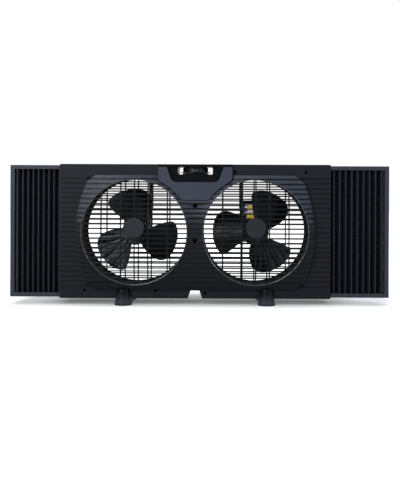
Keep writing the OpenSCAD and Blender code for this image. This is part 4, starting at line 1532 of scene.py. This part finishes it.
@dataclass
class GrilleCap:
    """The plain round cap in the middle of each grille: a shallow dish with a soft rim."""

    side: Side
    radius: float = 21.9 * MM
    proud: float = 0.5 * MM
    front: float = -59.0 * MM
    height: float = 173.0 * MM
    steps: int = 72

    def build(self, finishes: Finishes) -> None:
        """Builds the cap on the CAD disc and lets it ride on the housing.

        Args:
            finishes: The fan's finishes.
        """
        # Shares of the radius and of how far the cap stands proud, from the dish's middle to its rim.
        shape = [
            (0.0, 0.8), (0.5, 0.84), (0.86, 0.96), (0.93, 1.0), (0.975, 0.86), (1.0, 0.4), (1.0, -0.4)
        ]
        profile = [(self.radius * out, -self.proud * rise) for out, rise in shape]
        centre = Vector((self.side.value * DUCT_X, self.front, self.height))
        verts, faces = turned(profile, centre, self.steps)
        piece = mesh_piece(f"grille_cap_{self.side.word}", verts, faces, finishes.cap)
        smooth_by_angle(piece, 50)
        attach(piece, "housing")
        log.info("built grille_cap_%s", self.side.word)


@dataclass
class WellPlugs:
    """The push-in plugs between the openings, coloured near-black as painted shade in the wells: small
    flanged cups, with sizes in millimetres.
    """

    centres: tuple[tuple[float, float, float], ...] = ((0.0, -56.05, 223.5), (0.0, -57.8, 145.0))
    bore: float = 3.7
    wall: float = 0.25
    flange: float = 5.2
    flange_back: float = 0.9
    mouth: float = 0.3
    soft: float = 0.2
    proud: float = 0.4
    depth: float = 12.0
    floor: float = 0.6
    steps: int = 48

    def profile(self) -> list[tuple[float, float]]:
        """The cup's outline from its floor over the flange to its back.

        Returns:
            Pairs of radius and depth, in metres.
        """
        outer = self.bore + self.wall
        shape = [
            (0.0, self.depth), (self.bore, self.depth), (self.bore, 0.0),
            (self.bore + self.mouth, -self.proud), (self.flange - self.soft, -self.proud),
            (self.flange, -self.proud + self.soft), (self.flange, self.flange_back),
            (outer, self.flange_back), (outer, self.depth + self.floor),
        ]
        return [(radius * MM, depth * MM) for radius, depth in shape]

    def build(self, finishes: Finishes) -> None:
        """Builds the plugs and lets them ride on the housing.

        Args:
            finishes: The fan's finishes.
        """
        for number, centre in enumerate(self.centres):
            verts, faces = turned(self.profile(), Vector(centre) * MM, self.steps)
            piece = mesh_piece(f"well_plug_{number + 1}", verts, faces, finishes.plug)
            smooth_by_angle(piece, 40)
            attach(piece, "housing")
        log.info("built %d well plugs", len(self.centres))


@dataclass
class DialMarks:
    """Pad-printed ticks on the front of the dial's grip."""

    radius: float = 28.5 * MM
    heights: tuple[float, float] = (301.2 * MM, 302.6 * MM)
    sunk: float = 0.4 * MM
    proud: float = 0.2 * MM
    steps: int = 6
    places: tuple[tuple[float, float], ...] = ((-15.0, -9.0), (-6.0, 1.0), (4.0, 12.0))  # degrees

    def build(self, finishes: Finishes) -> None:
        """Builds the ticks and lets them ride on the dial.

        Args:
            finishes: The fan's finishes.
        """
        for number, (start, end) in enumerate(self.places):
            verts = []
            for k in range(self.steps + 1):
                turn = math.radians(start + (end - start) * k / self.steps)
                for radius in (self.radius - self.sunk, self.radius + self.proud):
                    x, y = radius * math.sin(turn), DIAL_Y - radius * math.cos(turn)
                    verts += [Vector((x, y, height)) for height in self.heights]
            last = 4 * self.steps
            faces = [[0, 1, 3, 2], [last, last + 2, last + 3, last + 1]]
            for a in range(0, last, 4):
                around = ((0, 1), (1, 3), (3, 2), (2, 0))
                faces += [[a + i, a + j, a + 4 + j, a + 4 + i] for i, j in around]
            piece = mesh_piece(f"dial_tick_{number + 1}", verts, faces, finishes.print)
            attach(piece, "dial")
        log.info("built %d dial ticks", len(self.places))


@dataclass
class DialSeat:
    """The low round seat in the slot's floor under the dial, which hides the switch's nut."""

    height: float = 293.3 * MM
    inner: float = 6.4 * MM
    radius: float = 29.5 * MM
    rise: float = 2.3 * MM
    sunk: float = 0.2 * MM
    chamfer: float = 1.2 * MM
    steps: int = 72

    def build(self, finishes: Finishes) -> None:
        """Builds the seat as a chamfered ring and lets it ride on the housing.

        Args:
            finishes: The fan's finishes.
        """
        shape = [
            (self.inner, -self.sunk), (self.inner, self.rise), (self.radius - self.chamfer, self.rise),
            (self.radius, self.rise - self.chamfer), (self.radius, -self.sunk),
        ]
        centre = Vector((0.0, DIAL_Y, self.height))
        verts = []
        for k in range(self.steps):
            turn = math.tau * k / self.steps
            for radius, height in shape:
                spot = Vector((radius * math.cos(turn), radius * math.sin(turn), height))
                verts.append(centre + spot)
        faces = loft_faces(self.steps, len(shape), looped=True)
        piece = mesh_piece("dial_seat", verts, faces, finishes.tray)
        smooth_by_angle(piece, 30)
        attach(piece, "housing")
        log.info("built dial_seat")


@dataclass
class MotorTerminals:
    """What sits by the winding, behind the blades' sweep: a terminal block, its cap, tails, a sleeve.

    Sizes are in millimetres, and places are given for the right motor.
    """

    side: Side
    block: tuple[tuple, tuple] = ((101.2, 4.6, 191.0), (114.6, 12.4, 232.5))
    block_corner: float = 1.2
    cap: tuple[tuple, tuple] = ((114.6, 4.6, 225.4), (140.0, 20.0, 234.0))
    cap_corner: float = 2.0
    sleeve: tuple[tuple, tuple] = ((119.5, -0.3, 206.0), (132.0, 2.2, 212.4))
    sleeve_corner: float = 1.1
    edge_mm: float = 0.4
    tail: float = 0.8
    violet: tuple = ((108, 4.4, 226), (109, 3.6, 217), (112, 2.0, 211), (121, 0.8, 209.5))
    blue: tuple = ((112, 4.4, 228), (111.5, 3.7, 220), (114, 2.1, 213.5), (121, 0.9, 211))
    white: tuple = ((108, 4.4, 195), (109.5, 3.4, 201), (113, 1.8, 206), (121, 0.7, 208))

    def put(self, place: tuple[float, float, float]) -> Vector:
        """A point given for the right motor, in metres and on this side."""
        return Vector((self.side.value * place[0] * MM, place[1] * MM, place[2] * MM))

    def box_piece(
        self, word: str, corners: tuple[tuple, tuple], radius_mm: float, finish: bpy.types.Material
    ) -> None:
        """Builds one moulded block with rounded long edges.

        Args:
            word: The block's name.
            corners: Its lowest and highest corner on the right side.
            radius_mm: Its rounding.
            finish: Its material.
        """
        a, b = (self.put(corner) for corner in corners)
        start, end = Vector((min(a.x, b.x), a.y, a.z)), Vector((max(a.x, b.x), b.y, b.z))
        verts, faces = rounded_box(start, end, radius_mm * MM, 4)
        piece = mesh_piece(f"motor_{word}_{self.side.word}", verts, faces, finish)
        round_edges(piece, self.edge_mm, 50)
        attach(piece, "housing")

    def tail_piece(self, word: str, points: tuple, jacket: bpy.types.Material) -> None:
        """Builds one thin tail of the winding.

        Args:
            word: The tail's colour.
            points: The points that it passes on the right side.
            jacket: Its material.
        """
        path = curved([self.put(point) for point in points], 6)
        verts, faces = swept_tube(path, self.tail * MM, 8)
        piece = mesh_piece(f"motor_tail_{word}_{self.side.word}", verts, faces, jacket)
        smooth_by_angle(piece, 60)
        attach(piece, "housing")

    def build(self, finishes: Finishes) -> None:
        """Builds the block, its cap, the sleeve and the tails.

        Args:
            finishes: The fan's finishes.
        """
        self.box_piece("terminal_block", self.block, self.block_corner, finishes.block)
        self.box_piece("terminal_cap", self.cap, self.cap_corner, finishes.block)
        self.box_piece("splice_sleeve", self.sleeve, self.sleeve_corner, finishes.sleeve)
        self.tail_piece("violet", self.violet, finishes.tails)
        self.tail_piece("blue", self.blue, finishes.jackets["blue"])
        self.tail_piece("white", self.white, finishes.jackets["white"])
        log.info("built motor terminals %s", self.side.word)


# --- stage, lights and camera -----------------------------------------------------------------


@dataclass(frozen=True)
class SoftBox:
    """A rectangular lamp behind a diffuser: where it hangs, what it faces, its size, power and tint."""

    name: str
    place: tuple[float, float, float]
    aim: tuple[float, float, float]
    size: tuple[float, float]
    watts: float
    tint: str = "#f4f8ff"

    def hang(self) -> None:
        """Adds the lamp to the scene."""
        data = bpy.data.lights.new(self.name, "AREA")
        data.shape = "RECTANGLE"
        data.size, data.size_y = self.size
        data.energy = self.watts
        data.color = linear(self.tint)[:3]
        lamp = bpy.data.objects.new(self.name, data)
        lamp.location = self.place
        lamp.rotation_euler = (Vector(self.aim) - Vector(self.place)).to_track_quat("-Z", "Y").to_euler()
        bpy.context.scene.collection.objects.link(lamp)


LAMPS = (
    SoftBox("key_above", (-0.65, -1.55, 1.18), (0, 0, 0.15), (0.8, 0.35), 24.0),
    SoftBox("key_left", (-0.975, -1.56, 0.61), (-0.2, 0, 0.1), (0.3, 0.3), 9.0),
    SoftBox("rim_right", (1.7, -1.1, 0.9), (0.3, 0, 0.2), (0.5, 0.5), 20.0, "#d3dfff"),
    SoftBox("top_sheet", (0.0, -0.5, 2.2), (0, 0, 0.15), (2.4, 1.0), 9.0),
    SoftBox("fill_back", (0.2, 1.8, 1.9), (0, 0, 0.0), (2.2, 1.0), 34.0),
)


@dataclass
class Studio:
    """A white sweep with soft lamps and the camera at the photograph's place."""

    eye: tuple[float, float, float] = (0.051, -1.742, 0.2653)
    lens_mm: float = 55.63
    sensor_mm: float = 36.0
    shift: tuple[float, float] = (-0.0368, -0.1176)
    roll_degrees: float = 0.23
    sees: tuple[float, float] = (0.05, 50.0)
    even_light: float = 0.45
    floor_half: float = 6.0
    floor_paint: float = 0.6
    painted_contact_shadow_reach: float = 80 * MM
    painted_contact_shadow_share: float = 0.7

    def camera(self) -> None:
        """Places the camera and makes it the scene's."""
        data = bpy.data.cameras.new("photo_camera")
        data.sensor_fit = "VERTICAL"
        data.sensor_height = self.sensor_mm
        data.lens = self.lens_mm
        data.shift_x, data.shift_y = self.shift
        data.clip_start, data.clip_end = self.sees
        camera = bpy.data.objects.new("photo_camera", data)
        camera.location = self.eye
        camera.rotation_euler = (math.pi / 2, -math.radians(self.roll_degrees), 0.0)
        bpy.context.scene.collection.objects.link(camera)
        bpy.context.scene.camera = camera

    def world(self) -> None:
        """Lights everything with an even grey and shows white to the camera and in reflections."""
        world = bpy.data.worlds.new("studio")
        bpy.context.scene.world = world
        world.use_nodes = True
        tree = world.node_tree
        tree.nodes.clear()
        ends = {"A": grey(self.even_light), "B": grey(1.0)}
        strength = add_node(tree, "Mix", COLOURS, {"Factor": self.seen_rays(tree), **ends})
        background = add_node(tree, "Background", inputs={"Color": strength, "Strength": 1.0})
        add_node(tree, "OutputWorld", inputs={"Surface": background})

    def seen_rays(self, tree: bpy.types.NodeTree) -> bpy.types.Node:
        """Tells the rays that see a thing from those that light others.

        Args:
            tree: The node tree.

        Returns:
            A node that gives 1 for camera, glossy and transmission rays.
        """
        path = add_node(tree, "LightPath").outputs
        direct = {0: path["Is Camera Ray"], 1: path["Is Glossy Ray"]}
        either = add_node(tree, "Math", {"operation": "MAXIMUM"}, direct)
        through = path["Is Transmission Ray"]
        return add_node(tree, "Math", {"operation": "MAXIMUM"}, {0: either, 1: through})

    def paleness(self, tree: bpy.types.NodeTree) -> bpy.types.Node:
        """Draws the sweep's painted shadow: darkest under the fan, and nearly white away from it.

        Args:
            tree: The floor's node tree.

        Returns:
            A node that gives the paleness, from 0 to 1.
        """
        place = add_node(tree, "TexCoord").outputs["Object"]
        parts = add_node(tree, "SeparateXYZ", inputs={"Vector": place}).outputs
        x, y = (add_node(tree, "Math", {"operation": "ABSOLUTE"}, {0: parts[way]}) for way in ("X", "Y"))
        # Each rise runs over a stretch in metres, from one paleness to another.
        before, behind, beyond, beside = (
            add_node(
                tree,
                "MapRange",
                SMOOTH,
                {"Value": way, "From Min": start, "From Max": end, "To Min": dark, "To Max": pale},
            )
            for way, start, end, dark, pale in (
                (parts["Y"], 0.1, -0.03, 0.25, 0.6),
                (parts["Y"], 0.055, 0.2, 0.0, 0.85),
                (y, 0.25, 0.6, 0.0, 0.9),
                (x, 0.4, 0.5, 0.0, 0.85),
            )
        )
        close = add_node(tree, "Math", {"operation": "MAXIMUM"}, {0: before, 1: behind})
        far = add_node(tree, "Math", {"operation": "MAXIMUM"}, {0: beyond, 1: beside})
        return add_node(tree, "Math", {"operation": "MAXIMUM"}, {0: close, 1: far})

    def painted_contact_shadow(self, tree: bpy.types.NodeTree) -> bpy.types.Node:
        """Paints a soft shadow where ambient occlusion finds something close above the floor.

        Args:
            tree: The floor's node tree.

        Returns:
            A node that gives 1 in the open and less close to the fan.
        """
        sky = add_node(
            tree, "AmbientOcclusion", {"samples": 12}, {"Distance": self.painted_contact_shadow_reach}
        ).outputs["AO"]
        steeper = add_node(tree, "Math", {"operation": "POWER"}, {0: sky, 1: 2.0})
        share = {0: steeper, 1: self.painted_contact_shadow_share}
        scaled = add_node(tree, "Math", {"operation": "MULTIPLY"}, share)
        return add_node(tree, "Math", {"operation": "ADD"}, {0: scaled, 1: 1.0 - self.painted_contact_shadow_share})

    def floor(self) -> None:
        """Lays the pale floor, which keeps the fan's soft shadow and adds painted shadow under and around it.
        """
        material, tree = new_material("painted_sweep")
        painted_contact_shadow = self.painted_contact_shadow(tree)
        # Painted shadow: the glow is darkened under the fan and where ambient occlusion finds it close.
        clear = add_node(
            tree, "Math", {"operation": "MULTIPLY"}, {0: self.paleness(tree), 1: painted_contact_shadow}
        )
        glow = add_node(tree, "Emission", inputs={"Color": clear, "Strength": 1.0})
        dark = add_node(tree, "Emission", inputs={"Color": grey(1.0), "Strength": 0.0})
        # Only what sees the floor sees it glow, so the glow puts no light on the fan.
        seen = add_node(tree, "MixShader", inputs={0: self.seen_rays(tree), 1: dark, 2: glow})
        # Painted shadow: the paint's colour is darkened too where ambient occlusion finds the fan close.
        ends = {"A": grey(0.0), "B": grey(self.floor_paint)}
        matt = add_node(tree, "Mix", COLOURS, {"Factor": painted_contact_shadow, **ends})
        paint = add_node(tree, "BsdfDiffuse", inputs={"Color": matt, "Roughness": 0.5})
        both = add_node(tree, "AddShader", inputs={0: seen, 1: paint})
        add_node(tree, "OutputMaterial", inputs={"Surface": both})
        half = self.floor_half
        corners = [(-half, -half, 0.0), (half, -half, 0.0), (half, half, 0.0), (-half, half, 0.0)]
        piece = mesh_piece("floor", corners, [[0, 1, 2, 3]], material)

    def build(self) -> None:
        """Sets up the whole studio."""
        self.camera()
        self.world()
        self.floor()
        for lamp in LAMPS:
            lamp.hang()
        bpy.context.scene.view_settings.view_transform = "Standard"
        log.info("built the studio")


def main() -> None:
    """Builds the fan's looks in order and reports each piece."""
    logging.basicConfig(level=logging.INFO, format="%(name)s: %(message)s")
    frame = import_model()
    Studio().build()
    finishes = Finishes()
    Shells().dress(frame["nodes"], finishes)
    for side in Side:
        PleatedCurtain(side).build(finishes)
        MotorCoil(side).build(finishes)
        MotorLeads(side).build(finishes)
        MotorTerminals(side).build(finishes)
        OpeningLip(side).build(finishes)
        GrilleCap(side).build(finishes)
    WellPlugs().build(finishes)
    DialSeat().build(finishes)
    DialMarks().build(finishes)


if __name__ == "__main__":
    main()
